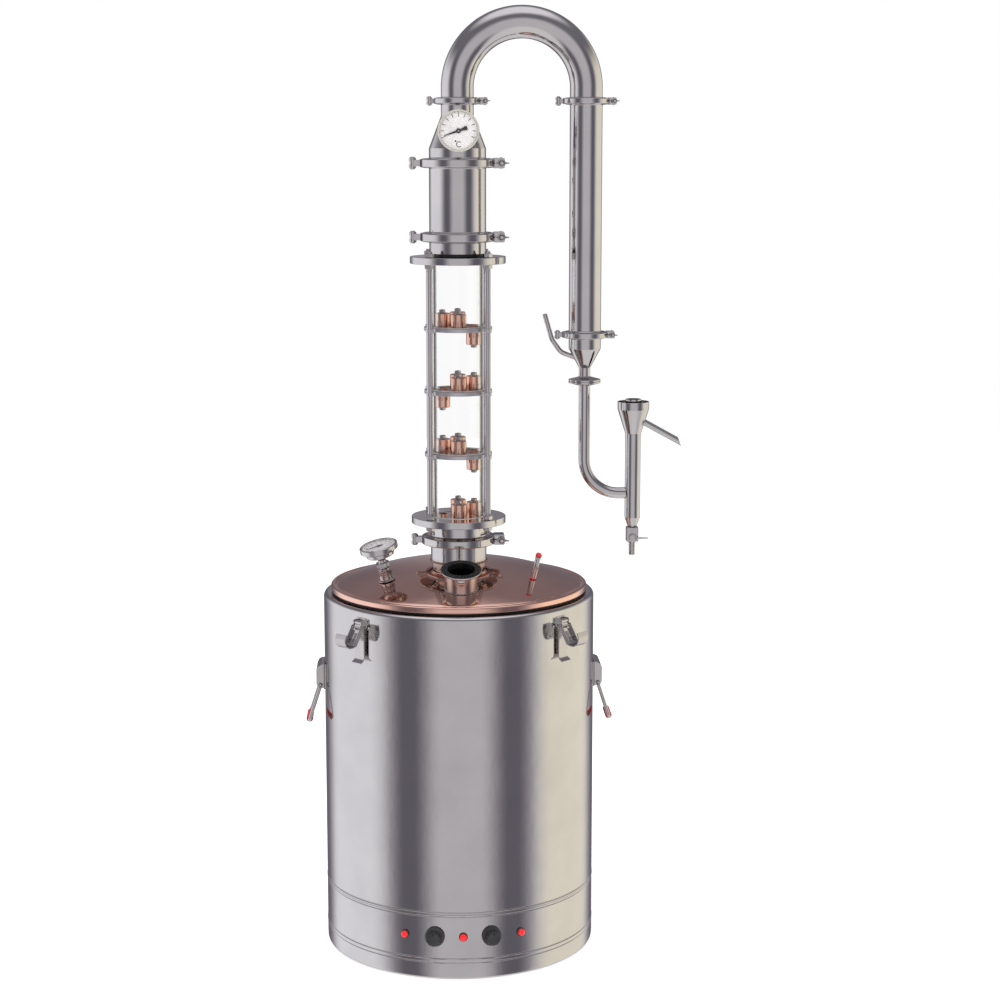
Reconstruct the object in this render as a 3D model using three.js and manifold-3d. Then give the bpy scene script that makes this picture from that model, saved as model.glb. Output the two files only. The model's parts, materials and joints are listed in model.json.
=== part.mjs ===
// Electric column still: boiler with a domed lid, glass bubble-plate column, gooseneck, condenser and parrot.
// Millimetres, +Z up. The origin is the middle of the boiler's underside, -Y is the front,
// and the gooseneck reaches over to +X.

import * as THREE from "three";
import { mergeVertices } from "three/addons/utils/BufferGeometryUtils.js";
import Module from "manifold-3d";

const wasm = await Module();
wasm.setup();

// ---------------------------------------------------------------- driving dimensions

// Sides of a round shape.
const SIDES_BOILER = 32;
const SIDES_TUBE = 16;
const SIDES_SMALL = 8;
const SIDES_PIN = 6;

// Room between pieces that touch in real life.
const GAP = 0.3;
const THROUGH = 10; // how far a cutter runs past what it cuts

// Boiler and its skirt.
const BOILER_R = 216;
const BOILER_WALL = 2;
const PAN_TOP = 104;
const PAN_GROOVE_Z = 30;
const GROOVE_DEPTH = 1;
const SHOULDER_R = 12;
const LIP_Z = 571;
const LIP_BORE_R = 188;

// Lid.
const LID_R = 204.5;
const LID_UNDER = LIP_Z + 3;
const LID_RIM_TOP = 585.5;
const DOME_R = 520;
const DOME_TOP = 622.5;
const LID_SHEET = 2;
const FITTING_RADIUS = 138; // distance of the lid's fittings from the middle

// Sanitary tube sizes: outside radius, ferrule radius, wall.
const TUBE_LARGE = { r: 44.45, ferrule: 53, wall: 1.6, lip: 2.9, taper: 8 };
const TUBE_SMALL = { r: 25.4, ferrule: 32, wall: 1.6, lip: 1.8, taper: 6 };

// Heights of the clamped joints.
const COLLAR_JOINT_Z = 654.5;
const COLUMN_JOINT_Z = 1133.8;
const HEAD_JOINT_Z = 1247.9;
const NECK_JOINT_Z = 1342.8;
const OUTLET_JOINT_Z = 980.5;

// Column.
const FLANGE_R = 75;
const FLANGE_THICK = 11;
const BASE_FLANGE_TOP = 693;
const TOP_FLANGE_TOP = 1104;
const GLASS_R = 42;
const GLASS_BORE_R = 38.5;
const PLATE_R = 53.5;
const PLATE_THICK = 6;
const PLATE_HEIGHTS = [792, 892, 991];
const CAP_CIRCLE_R = 24.75;
const CAP_R = 12.25;
const CAP_H = 22;
const ROD_OFFSET = 45;
const ROD_R = 4.6;

// Head.
const CONE_BOTTOM = 1270.5;
const CONE_TOP = 1320;
const DIAL_Z = 1297;
const DIAL_R = 32;
const DIAL_FRONT = 72;
const POINTER_REST = 199; // degrees, counted anticlockwise from +X as the dial is read

// Product side.
const BEND_R = 100;
const CONDENSER_X = 2 * BEND_R;
const BEND_CENTRE_Z = 1363;
const OUTLET_CONE_TOP = 958.6;
const OUTLET_CONE_BOTTOM = 928;
const DRIP_R = 9;
const UNION_Z = 907;
const UNION_R = 25.25;
const ELBOW_R = 55;
const ELBOW_Z = 727;
const PARROT_X = CONDENSER_X + 78;
const PARROT_R = 12.5;
const PARROT_TOP = 878;
const VALVE_TOP = 672;
const VALVE_SIZE = 19;
const VALVE_AXIS_Z = 656;
const VALVE_LEVER_REACH = 25;

// The parrot's spout slopes down from its cup and ends in a slanting cut.
const SPOUT_R = 5;
const SPOUT_BORE_R = 3.8;
const SPOUT_START = 17; // distance of its root from the parrot's axis
const SPOUT_END = 74.4;
const SPOUT_Z = 841;
const SPOUT_SLOPE = 29;
const SPOUT_TIP_TILT = 20.4; // degrees between the cut's normal and the level

// Latches, in the plane across the wall: [outwards from the wall, height].
const LATCH_AZIMUTHS = { front_left: -45, front_right: 45, back_left: -135, back_right: 135 };
const LEVER_PIVOT = [6, 554];
const CLAW_PIVOT = [9, 547];
const LATCH_PIN_R = 1.5;
const LATCH_HOLE_R = 1.8;

// Carry handles.
const HANDLE_PIVOT = [6, 424];
const HANDLE_WIRE_R = 2.8;
const HANDLE_BEND_R = 5; // the bends start outside the bracket's bore
const HANDLE_HALF = 34;
const HANDLE_DROP = 60;
const HANDLE_REST = 18; // degrees outwards from hanging straight down
const BRACKET_HALF = 28;

// ---------------------------------------------------------------- solids from three.js shapes

const rad = THREE.MathUtils.degToRad;

function solidOf(geometry) {
  const bare = geometry.clone();
  bare.deleteAttribute("normal");
  bare.deleteAttribute("uv");
  const merged = mergeVertices(bare, 1e-4);
  const index = merged.index.array;
  const kept = [];
  for (let i = 0; i < index.length; i += 3) {
    const [a, b, c] = index.slice(i, i + 3);
    if (a !== b && b !== c && c !== a) {
      kept.push(a, b, c);
    }
  }
  return new wasm.Manifold(new wasm.Mesh({
    numProp: 3,
    vertProperties: new Float32Array(merged.attributes.position.array),
    triVerts: new Uint32Array(kept),
  }));
}

function geometryOf(solid) {
  const mesh = solid.getMesh();
  const geometry = new THREE.BufferGeometry();
  geometry.setAttribute("position", new THREE.BufferAttribute(mesh.vertProperties, 3));
  geometry.setIndex(new THREE.BufferAttribute(mesh.triVerts, 1));
  geometry.computeVertexNormals();
  return geometry;
}

function joined(...solids) {
  return solids.reduce((all, next) => all.add(next));
}

function cut(solid, ...cutters) {
  return cutters.reduce((left, cutter) => left.subtract(cutter), solid);
}

// A turned geometry about +Z from [radius, height] points that start and end on the axis.
function turnedGeometry(profile, sides) {
  const points = profile.map(([radius, height]) => new THREE.Vector2(radius, height));
  return new THREE.LatheGeometry(points, sides).rotateX(Math.PI / 2);
}

function turned(profile, sides) {
  return solidOf(turnedGeometry(profile, sides));
}

// A turned ring: the profile runs anticlockwise and closes on itself.
function ring(profile, sides) {
  return turned([...profile, profile[0]], sides);
}

function rod(radius, from, to, sides) {
  return turned([[0, from], [radius, from], [radius, to], [0, to]], sides);
}

function hollow(radius, bore, from, to, sides) {
  return ring([[bore, from], [radius, from], [radius, to], [bore, to]], sides);
}

// A rod along any direction, placed by a matrix that carries +Z to that direction.
function rodAlong(radius, from, to, sides) {
  const start = new THREE.Vector3(...from);
  const way = new THREE.Vector3(...to).sub(start);
  const length = way.length();
  const turn = new THREE.Quaternion().setFromUnitVectors(new THREE.Vector3(0, 0, 1), way.normalize());
  const place = new THREE.Matrix4().makeRotationFromQuaternion(turn).setPosition(start);
  const profile = [[0, 0], [radius, 0], [radius, length], [0, length]];
  return solidOf(turnedGeometry(profile, sides).applyMatrix4(place));
}

// A box from its lowest to its highest corner.
function block(low, high) {
  const size = high.map((value, axis) => value - low[axis]);
  const middle = high.map((value, axis) => (value + low[axis]) / 2);
  return solidOf(new THREE.BoxGeometry(...size).translate(...middle));
}

// A round or hexagonal rod standing at (x, y).
function rodAt(x, y, radius, from, to, sides) {
  const profile = [[0, from], [radius, from], [radius, to], [0, to]];
  return solidOf(turnedGeometry(profile, sides).translate(x, y, 0));
}

// An outline in [outwards, height], extruded across the tangent between two places.
// Its own frame has the wall's outward direction along -Y.
function acrossWall(outline, from, to) {
  const shape = new THREE.Shape(outline.map(([x, y]) => new THREE.Vector2(x, y)));
  const geometry = new THREE.ExtrudeGeometry(shape, { depth: to - from, bevelEnabled: false });
  geometry.translate(0, 0, from);
  const outwards = new THREE.Vector3(0, -1, 0);
  const up = new THREE.Vector3(0, 0, 1);
  const along = new THREE.Vector3(-1, 0, 0);
  return geometry.applyMatrix4(new THREE.Matrix4().makeBasis(outwards, up, along));
}

// The outline of a strip of even thickness along a line of points.
function strip(line, thickness) {
  const left = [];
  const right = [];
  line.forEach(([x, y], i) => {
    const before = line[Math.max(i - 1, 0)];
    const after = line[Math.min(i + 1, line.length - 1)];
    const length = Math.hypot(after[0] - before[0], after[1] - before[1]);
    const shiftX = (-(after[1] - before[1]) / length) * (thickness / 2);
    const shiftY = ((after[0] - before[0]) / length) * (thickness / 2);
    left.push([x + shiftX, y + shiftY]);
    right.unshift([x - shiftX, y - shiftY]);
  });
  return [...right.reverse(), ...left.reverse()];
}

// A regular polygon standing for a disc, in [outwards, height].
function disc([x, y], radius, sides) {
  return Array.from({ length: sides }, (_, i) => {
    const angle = (2 * Math.PI * (i + 0.5)) / sides;
    return [x + radius * Math.cos(angle), y + radius * Math.sin(angle)];
  });
}

// A curve through given points, met exactly at even steps.
class Route extends THREE.Curve {
  constructor(points) {
    super();
    this.points = points;
  }

  getPoint(t) {
    const place = t * (this.points.length - 1);
    const i = Math.min(Math.floor(place), this.points.length - 2);
    return this.points[i].clone().lerp(this.points[i + 1], place - i);
  }

  getPointAt(u) {
    return this.getPoint(u);
  }

  getTangentAt(u) {
    const step = 0.5 / (this.points.length - 1);
    const ahead = this.getPoint(Math.min(u + step, 1));
    return ahead.sub(this.getPoint(Math.max(u - step, 0))).normalize();
  }
}

// Points along straight legs whose inner corners are rounded to a bend radius.
function rounded(corners, bend, arcSteps) {
  const at = corners.map((corner) => new THREE.Vector3(...corner));
  const points = [at[0]];
  for (let i = 1; i < at.length - 1; i += 1) {
    const into = at[i].clone().sub(at[i - 1]).normalize();
    const out = at[i + 1].clone().sub(at[i]).normalize();
    const turn = into.angleTo(out);
    const reach = bend * Math.tan(turn / 2);
    const start = at[i].clone().addScaledVector(into, -reach);
    const axis = into.clone().cross(out).normalize();
    const inwards = axis.clone().cross(into).normalize();
    const centre = start.clone().addScaledVector(inwards, bend);
    for (let k = 0; k <= arcSteps; k += 1) {
      const arm = start.clone().sub(centre).applyAxisAngle(axis, (turn * k) / arcSteps);
      const point = centre.clone().add(arm);
      if (point.distanceTo(points[points.length - 1]) > 1e-3) {
        points.push(point);
      }
    }
  }
  points.push(at[at.length - 1]);
  return points;
}

function pipe(points, radius, bore, sides) {
  const shape = new THREE.Shape().absarc(0, 0, radius, 0, 2 * Math.PI);
  if (bore > 0) {
    shape.holes.push(new THREE.Path().absarc(0, 0, bore, 0, 2 * Math.PI, true));
  }
  const options = { steps: points.length - 1, curveSegments: sides / 2, extrudePath: new Route(points) };
  return solidOf(new THREE.ExtrudeGeometry(shape, options));
}

// ---------------------------------------------------------------- sanitary ferrules and clamps

// Half profile of a tube between two heights, with a ferrule at either end that has one.
function ferruleTube(size, bottom, top, hasBottom, hasTop) {
  const outer = [];
  if (hasBottom) {
    outer.push([size.ferrule, bottom], [size.ferrule, bottom + size.lip], [size.r, bottom + size.taper]);
  } else {
    outer.push([size.r, bottom]);
  }
  if (hasTop) {
    outer.push([size.r, top - size.taper], [size.ferrule, top - size.lip], [size.ferrule, top]);
  } else {
    outer.push([size.r, top]);
  }
  const bore = size.r - size.wall;
  return ring([[bore, bottom], ...outer, [bore, top]], SIDES_TUBE);
}

const CLAMP_LARGE = {
  profile: [[50, -8], [59, -6], [59, 6], [50, 8], [54.4, 2.5], [54.4, -2.5]],
  outer: 59, half: 8, lugEnd: 73, lugBack: 14, reach: 78,
  boltX: 68, pivotY: 9, eye: 5, bolt: 3, nut: 7,
};
const CLAMP_SMALL = {
  profile: [[28.5, -6], [37, -4], [37, 4], [28.5, 6], [33.2, 1.6], [33.2, -1.6]],
  outer: 37, half: 5.5, lugEnd: 46.5, lugBack: 9.5, reach: 48,
  boltX: 43, pivotY: 6, eye: 3.6, bolt: 2, nut: 4.6,
};
const NUT_GAP = 1.2; // between the front lug and the nut that bears on it

// Two half rings on a hinge block at -X, with forked lugs for the swing bolt at +X.
function clampRing(c) {
  const root = c.outer - 4;
  const slot = c.bolt + 0.5;
  const band = ring(c.profile, SIDES_TUBE);
  const lugs = joined(
    block([root, -c.lugBack, -c.half], [c.lugEnd, -3, c.half]),
    block([root, 3, -c.half], [c.lugEnd, c.lugBack, c.half]),
  );
  const openFrom = c.boltX - c.eye - 1;
  const openHalf = c.lugBack + THROUGH;
  const opening = block([openFrom, -openHalf, -slot], [c.reach, openHalf, slot]);
  const split = block([c.outer - 15, -1.2, -c.half - 1], [c.outer + 1, 1.2, c.half + 1]);
  const hinge = block([-c.reach, -c.eye - 2, -c.half], [-root, c.eye + 2, c.half]);
  const pin = rodAt(c.boltX, c.pivotY, c.bolt * 0.6, -c.half, c.half, SIDES_PIN);
  const body = cut(joined(band, cut(lugs, opening), hinge), split);
  return body.add(pin);
}

// Swing bolt: an eye on the rear lug's pin, a shaft to the front, and its nut.
function clampBolt(c) {
  const nutBack = -c.lugBack - NUT_GAP;
  const nutFront = nutBack - c.nut;
  const eye = rodAt(c.boltX, c.pivotY, c.eye, -c.bolt, c.bolt, SIDES_SMALL);
  const hole = rodAt(c.boltX, c.pivotY, c.bolt * 0.6 + GAP, -c.bolt - 1, c.bolt + 1, SIDES_PIN);
  const shaft = rodAlong(c.bolt, [c.boltX, c.pivotY - c.eye + 1, 0], [c.boltX, nutFront - 3, 0], SIDES_PIN);
  const nut = rodAlong(c.nut, [c.boltX, nutBack, 0], [c.boltX, nutFront, 0], 6);
  return joined(cut(eye, hole), shaft, nut);
}

// ---------------------------------------------------------------- boiler

function onWall(azimuth, geometry) {
  const place = new THREE.Matrix4().makeRotationZ(rad(azimuth));
  place.multiply(new THREE.Matrix4().makeTranslation(0, -BOILER_R, 0));
  return solidOf(geometry.clone().applyMatrix4(place));
}

function latchBracket(azimuth) {
  const [out, height] = LEVER_PIVOT;
  const ear = 4.5;
  const outline = [[-3, height - ear], [out, height - ear]];
  for (let step = 1; step < 4; step += 1) {
    const angle = rad(-90 + 45 * step);
    outline.push([out + ear * Math.cos(angle), height + ear * Math.sin(angle)]);
  }
  outline.push([out, height + ear], [-3, height + ear]);
  return joined(
    onWall(azimuth, acrossWall(outline, 7, 9)),
    onWall(azimuth, acrossWall(outline, -9, -7)),
    onWall(azimuth, acrossWall(disc(LEVER_PIVOT, LATCH_PIN_R, SIDES_PIN), -9, 9)),
  );
}

function handleBracket(azimuth) {
  const outline = [[-6, 418], [10, 418], [13, 425], [13, 447], [10, 454], [5, 457], [-6, 457]];
  const body = onWall(azimuth, acrossWall(outline, -BRACKET_HALF, BRACKET_HALF));
  const bore = disc(HANDLE_PIVOT, HANDLE_WIRE_R + 0.6, SIDES_SMALL);
  return body.subtract(onWall(azimuth, acrossWall(bore, -BRACKET_HALF - 1, BRACKET_HALF + 1)));
}

function boilerVessel() {
  const shoulder = [];
  const innerShoulder = [];
  for (let step = 0; step <= 3; step += 1) {
    const angle = rad(30 * step);
    const r = BOILER_R - SHOULDER_R;
    const z = LIP_Z - SHOULDER_R;
    shoulder.push([r + SHOULDER_R * Math.cos(angle), z + SHOULDER_R * Math.sin(angle)]);
    const inner = SHOULDER_R - BOILER_WALL;
    innerShoulder.push([r + inner * Math.cos(angle), z + inner * Math.sin(angle)]);
  }
  const edge = BOILER_R - GROOVE_DEPTH;
  const outside = turned([[0, PAN_TOP], [edge, PAN_TOP], [BOILER_R, PAN_TOP + 1.5], ...shoulder, [0, LIP_Z]],
    SIDES_BOILER);
  const floor = PAN_TOP + BOILER_WALL;
  const above = LIP_Z + THROUGH;
  const inside = turned([[0, floor], [BOILER_R - BOILER_WALL, floor], ...innerShoulder,
    [LIP_BORE_R, LIP_Z - BOILER_WALL], [LIP_BORE_R, above], [0, above]], SIDES_BOILER);
  const latchBrackets = Object.values(LATCH_AZIMUTHS).map(latchBracket);
  const handleBrackets = [90, -90].map(handleBracket);
  return joined(outside, ...latchBrackets, ...handleBrackets).subtract(inside);
}

function basePan() {
  const groove = BOILER_R - GROOVE_DEPTH;
  const inner = BOILER_R - 3;
  return turned([
    [0, 0], [BOILER_R, 0],
    [BOILER_R, PAN_GROOVE_Z - 1.5], [groove, PAN_GROOVE_Z], [BOILER_R, PAN_GROOVE_Z + 1.5],
    [BOILER_R, PAN_TOP - 1.5], [groove, PAN_TOP], [inner, PAN_TOP], [inner, 3], [0, 3],
  ], SIDES_BOILER);
}

// Ring heater held against the underside of the boiler's floor.
function heatingElement() {
  const ringR = 115;
  const tubeR = 6;
  const height = PAN_TOP - tubeR - GAP;
  const profile = [];
  for (let step = 0; step < 8; step += 1) {
    const angle = rad(-90 + 45 * step);
    profile.push([ringR + tubeR * Math.cos(angle), height + tubeR * Math.sin(angle)]);
  }
  return ring(profile, SIDES_TUBE);
}

function powerKnob() {
  const body = turned([[0, 0], [15.5, 0], [15.5, 4], [12.5, 6], [11, 17], [0, 17]], SIDES_TUBE);
  return body.add(block([-1.5, -14, 3], [1.5, 0, 18]));
}

function pilotLamp() {
  return turned([[0, 0], [6.5, 0], [6.5, 2.5], [5, 3], [3.5, 5.5], [0, 6.5]], SIDES_SMALL);
}

// Wire bail in its own frame: pivot at the origin, ends along X, hanging towards -Z.
function carryHandle() {
  const start = BRACKET_HALF - 8;
  const corners = [[start, 0, 0], [HANDLE_HALF, 0, 0], [HANDLE_HALF, 0, -HANDLE_DROP],
    [-HANDLE_HALF, 0, -HANDLE_DROP], [-HANDLE_HALF, 0, 0], [-start, 0, 0]];
  const wire = pipe(rounded(corners, HANDLE_BEND_R, 3), HANDLE_WIRE_R, 0, SIDES_PIN);
  const gripHalf = HANDLE_HALF - 11;
  const grip = rodAlong(6, [-gripHalf, 0, -HANDLE_DROP], [gripHalf, 0, -HANDLE_DROP], SIDES_SMALL);
  return wire.add(grip);
}

// ---------------------------------------------------------------- latches, drawn across the wall

function latchLever() {
  const neck = [LEVER_PIVOT, CLAW_PIVOT, [6, 540], [5.2, 534]];
  const strap = [[6, 540], [5.2, 534], [5, 500], [6.5, 495], [12, 492]];
  const body = joined(
    solidOf(acrossWall(strip(neck, 2.4), -6.5, 6.5)),
    solidOf(acrossWall(strip(strap, 2.2), -10, 10)),
    solidOf(acrossWall(disc(LEVER_PIVOT, 3.6, SIDES_PIN), -6.5, 6.5)),
    solidOf(acrossWall(disc(CLAW_PIVOT, LATCH_PIN_R, SIDES_PIN), -11.6, 11.6)),
  );
  return body.subtract(solidOf(acrossWall(disc(LEVER_PIVOT, LATCH_HOLE_R, SIDES_PIN), -12, 12)));
}

function latchClaw() {
  const arm = strip([CLAW_PIVOT, [24, 523]], 6);
  const nose = [[21, 524], [26, 520], [36, 520], [44, 525], [46, 533], [43, 541]];
  const body = joined(
    solidOf(acrossWall(arm, 9.3, 11.3)),
    solidOf(acrossWall(arm, -11.3, -9.3)),
    solidOf(acrossWall(disc(CLAW_PIVOT, 3.4, SIDES_PIN), 9.3, 11.3)),
    solidOf(acrossWall(disc(CLAW_PIVOT, 3.4, SIDES_PIN), -11.3, -9.3)),
    solidOf(acrossWall(strip(nose, 2.2), -11.3, 11.3)),
  );
  return body.subtract(solidOf(acrossWall(disc(CLAW_PIVOT, LATCH_HOLE_R, SIDES_PIN), -12, 12)));
}

// ---------------------------------------------------------------- lid

const domeHeight = (radius, sphere) => DOME_TOP - DOME_R + Math.sqrt(sphere * sphere - radius * radius);
const FITTING_TILT = Math.asin(FITTING_RADIUS / DOME_R);
const FITTING_Z = domeHeight(FITTING_RADIUS, DOME_R);

// Where a lid fitting stands: square to the dome, at an azimuth from the front.
function fittingPlace(azimuth) {
  const place = new THREE.Matrix4().makeRotationZ(rad(azimuth));
  place.multiply(new THREE.Matrix4().makeTranslation(0, -FITTING_RADIUS, FITTING_Z));
  return place.multiply(new THREE.Matrix4().makeRotationX(FITTING_TILT));
}

const FILLER_AZIMUTH = 0;
const LID_DIAL_AZIMUTH = -56;
const RELIEF_AZIMUTH = 56;
const LID_STEM_R = 4;
const RELIEF_R = 4.5;
const RELIEF_TOP = 37.3; // above the dome, as all heights of the lid's fittings are

function lidHole(azimuth, radius, sides) {
  const geometry = turnedGeometry([[0, -20], [radius, -20], [radius, 20], [0, 20]], sides);
  return solidOf(geometry.applyMatrix4(fittingPlace(azimuth)));
}

function lidDome() {
  const collarBore = TUBE_LARGE.r + GAP;
  const radii = [192, 160, 120, 80, collarBore];
  const outside = radii.map((r) => [r, domeHeight(r, DOME_R)]);
  const inside = radii.map((r) => [r, domeHeight(r, DOME_R - LID_SHEET)]).reverse();
  const rim = [[190, LID_UNDER], [LID_R - 1, LID_UNDER], [LID_R, LID_UNDER + 3],
    [LID_R, LID_RIM_TOP - 3], [LID_R - 3, LID_RIM_TOP + 0.5], [LID_R - 8, LID_RIM_TOP + 1]];
  const shell = ring([...rim, ...outside, ...inside], SIDES_BOILER);
  return cut(
    shell,
    lidHole(FILLER_AZIMUTH, TUBE_SMALL.r + GAP, SIDES_TUBE),
    lidHole(LID_DIAL_AZIMUTH, LID_STEM_R + 1, SIDES_SMALL),
    lidHole(RELIEF_AZIMUTH, RELIEF_R + 0.6, SIDES_SMALL),
  );
}

function lidGasket() {
  return hollow(LID_R - 1.5, 190, LIP_Z, LID_UNDER, SIDES_BOILER);
}

function lidCollar() {
  return ferruleTube(TUBE_LARGE, 614, COLLAR_JOINT_Z - 0.1, false, true);
}

function fillerNeck() {
  return ferruleTube(TUBE_SMALL, -4, 30.3, false, true);
}

// Bimetal dial thermometer: probe, bushing, hex, neck, case and bezel.
function lidThermometer() {
  const body = turned([
    [0, -55], [LID_STEM_R, -55], [LID_STEM_R, 1.5], [10, 1.5], [10, 19.3], [6.5, 20.3], [6.5, 41.3],
    [22, 42.3], [22, 50.3], [30, 51.3], [30, 60.3], [27, 60.3], [27, 57.3], [0, 57.3],
  ], SIDES_TUBE);
  return body.add(rod(12, 20.8, 27.8, 6));
}

function reliefTube() {
  return turned([[0, -5], [RELIEF_R, -5], [RELIEF_R, RELIEF_TOP], [2.4, RELIEF_TOP], [2.4, 25], [0, 25]],
    SIDES_SMALL);
}

function reliefPlug() {
  const seat = RELIEF_TOP + GAP;
  return turned([[0, 27], [2, 27], [2, seat], [4.8, seat], [4.8, 41.3], [3, 43.8], [0, 44.3]], SIDES_SMALL);
}

// ---------------------------------------------------------------- glass column

// Places round the plate: 0 is +X, counted anticlockwise.
function bubbleCaps(angles, deck) {
  return angles.map((angle) => {
    const x = CAP_CIRCLE_R * Math.cos(rad(angle));
    const y = CAP_CIRCLE_R * Math.sin(rad(angle));
    const bell = rodAt(x, y, CAP_R, deck - 1, deck + CAP_H, SIDES_SMALL);
    return bell.add(rodAt(x, y, 5.5, deck + CAP_H - 1, deck + CAP_H + 6, 6));
  });
}

// Downcomer cup under the plate, open to the deck.
function withDowncomer(plate, angle, deck, under) {
  const x = CAP_CIRCLE_R * Math.cos(rad(angle));
  const y = CAP_CIRCLE_R * Math.sin(rad(angle));
  const cup = rodAt(x, y, 12, under - 23, under + 1, SIDES_SMALL);
  return plate.add(cup).subtract(rodAt(x, y, 8, under - 20, deck + 1, SIDES_SMALL));
}

const CAPS_LEFT = [180, 270, 90];
const CAPS_RIGHT = [0, 270, 90];

function bubblePlate(height, caps, downcomer) {
  const deck = height + PLATE_THICK / 2;
  const under = height - PLATE_THICK / 2;
  const plate = withDowncomer(rod(PLATE_R, under, deck, SIDES_TUBE), downcomer, deck, under);
  return joined(plate, ...bubbleCaps(caps, deck));
}

function rodHoles(from, to) {
  const offsets = [[1, 1], [1, -1], [-1, 1], [-1, -1]];
  return offsets.map(([x, y]) => rodAt(x * ROD_OFFSET, y * ROD_OFFSET, ROD_R + 0.6, from, to, SIDES_PIN));
}

// Base flange with a ferrule below it; its deck is the lowest bubble plate.
function columnBase() {
  const joint = COLLAR_JOINT_Z + 0.1;
  const t = TUBE_LARGE;
  const under = BASE_FLANGE_TOP - FLANGE_THICK;
  const bore = t.r - t.wall;
  const body = turned([
    [0, under + 5], [bore, under + 5], [bore, joint], [t.ferrule, joint], [t.ferrule, joint + t.lip],
    [t.r, joint + t.taper], [t.r, under], [FLANGE_R, under],
    [FLANGE_R, BASE_FLANGE_TOP], [0, BASE_FLANGE_TOP],
  ], SIDES_TUBE);
  const holed = cut(body, ...rodHoles(under - 1, BASE_FLANGE_TOP + 1));
  const plate = withDowncomer(holed, 180, BASE_FLANGE_TOP, under + 5);
  return joined(plate, ...bubbleCaps(CAPS_RIGHT, BASE_FLANGE_TOP));
}

function columnTopFlange() {
  const joint = COLUMN_JOINT_Z - 0.1;
  const t = TUBE_LARGE;
  const under = TOP_FLANGE_TOP - FLANGE_THICK;
  const bore = t.r - t.wall;
  const body = ring([
    [GLASS_BORE_R, under], [FLANGE_R, under], [FLANGE_R, TOP_FLANGE_TOP], [t.r, TOP_FLANGE_TOP],
    [t.r, joint - t.taper], [t.ferrule, joint - t.lip], [t.ferrule, joint], [bore, joint],
    [bore, TOP_FLANGE_TOP - 4], [GLASS_BORE_R, TOP_FLANGE_TOP - 4],
  ], SIDES_TUBE);
  return cut(body, ...rodHoles(under - 1, TOP_FLANGE_TOP + 1));
}

// Threaded rod with a nut on both sides of both flanges.
function tieRod() {
  const nut = 6;
  const nutR = 7.5;
  const lowUnder = BASE_FLANGE_TOP - FLANGE_THICK - GAP;
  const lowOver = BASE_FLANGE_TOP + GAP;
  const highUnder = TOP_FLANGE_TOP - FLANGE_THICK - GAP;
  const highOver = TOP_FLANGE_TOP + GAP;
  return joined(
    rod(ROD_R, lowUnder - nut - 3, highOver + nut + 3, SIDES_PIN),
    rod(nutR, lowUnder - nut, lowUnder, 6),
    rod(nutR, lowOver, lowOver + nut, 6),
    rod(nutR, highUnder - nut, highUnder, 6),
    rod(nutR, highOver, highOver + nut, 6),
  );
}

function glassSections() {
  const edges = [BASE_FLANGE_TOP];
  PLATE_HEIGHTS.forEach((height) => edges.push(height - PLATE_THICK / 2, height + PLATE_THICK / 2));
  edges.push(TOP_FLANGE_TOP - FLANGE_THICK);
  const sections = [];
  for (let i = 0; i < edges.length; i += 2) {
    sections.push(hollow(GLASS_R, GLASS_BORE_R, edges[i], edges[i + 1], SIDES_TUBE));
  }
  return sections;
}

// ---------------------------------------------------------------- shell-and-tube exchangers

// Water jacket between two tube plates, with water nipples at the back that open it.
function exchanger(size, bottom, top, inset, tubes) {
  const shell = ferruleTube(size, bottom, top, true, true);
  const bore = size.r - size.wall;
  const sheet = 3;
  const low = bottom + inset;
  const high = top - inset;
  const sheets = joined(
    rod(bore + 0.5, low, low + sheet, SIDES_TUBE),
    rod(bore + 0.5, high - sheet, high, SIDES_TUBE),
  );
  const places = tubes.angles.map((angle) => {
    const turn = rad(angle);
    return [tubes.circle * Math.cos(turn), tubes.circle * Math.sin(turn)];
  });
  const pipes = places.map(([x, y]) => rodAt(x, y, tubes.r, low, high, SIDES_PIN));
  const bores = places.map(([x, y]) => rodAt(x, y, tubes.r - 1.2, low - 1, high + 1, SIDES_PIN));
  const nippleHeights = [low + 18, high - 18];
  const reach = size.r + tubes.nipple;
  const nipples = nippleHeights.map((z) => rodAlong(5, [0, bore + 0.5, z], [0, reach, z], SIDES_PIN));
  const nippleBores = nippleHeights.map((z) => (
    rodAlong(3.5, [0, tubes.clear, z], [0, reach + 1, z], SIDES_PIN)
  ));
  return cut(joined(shell, sheets, ...pipes, ...nipples), ...bores, ...nippleBores);
}

function dephlegmator() {
  const tubes = { circle: 22, angles: [0, 180, 270], r: 10, nipple: 28, clear: 34 };
  return exchanger(TUBE_LARGE, COLUMN_JOINT_Z + 0.1, HEAD_JOINT_Z - 0.1, 12, tubes);
}

function condenser() {
  const tubes = { circle: 12, angles: [-30, 210], r: 6, nipple: 24, clear: 16 };
  return exchanger(TUBE_SMALL, OUTLET_JOINT_Z + 0.15, NECK_JOINT_Z - 0.15, 20, tubes);
}

// ---------------------------------------------------------------- head

function headReducer() {
  const low = TUBE_LARGE;
  const high = TUBE_SMALL;
  const bottom = HEAD_JOINT_Z + 0.1;
  const top = NECK_JOINT_Z - 0.15;
  const body = ring([
    [low.r - low.wall, bottom], [low.ferrule, bottom],
    [low.ferrule, bottom + low.lip], [low.r, bottom + low.taper],
    [low.r, CONE_BOTTOM], [high.r, CONE_TOP],
    [high.r, top - high.taper], [high.ferrule, top - high.lip], [high.ferrule, top],
    [high.r - high.wall, top], [high.r - high.wall, CONE_TOP], [low.r - low.wall, CONE_BOTTOM],
  ], SIDES_TUBE);
  const boss = rodAlong(9, [0, -34, DIAL_Z], [0, -50, DIAL_Z], SIDES_SMALL);
  const bore = rodAlong(5.4, [0, -20, DIAL_Z], [0, -60, DIAL_Z], SIDES_SMALL);
  return joined(body, boss).subtract(bore);
}

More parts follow.
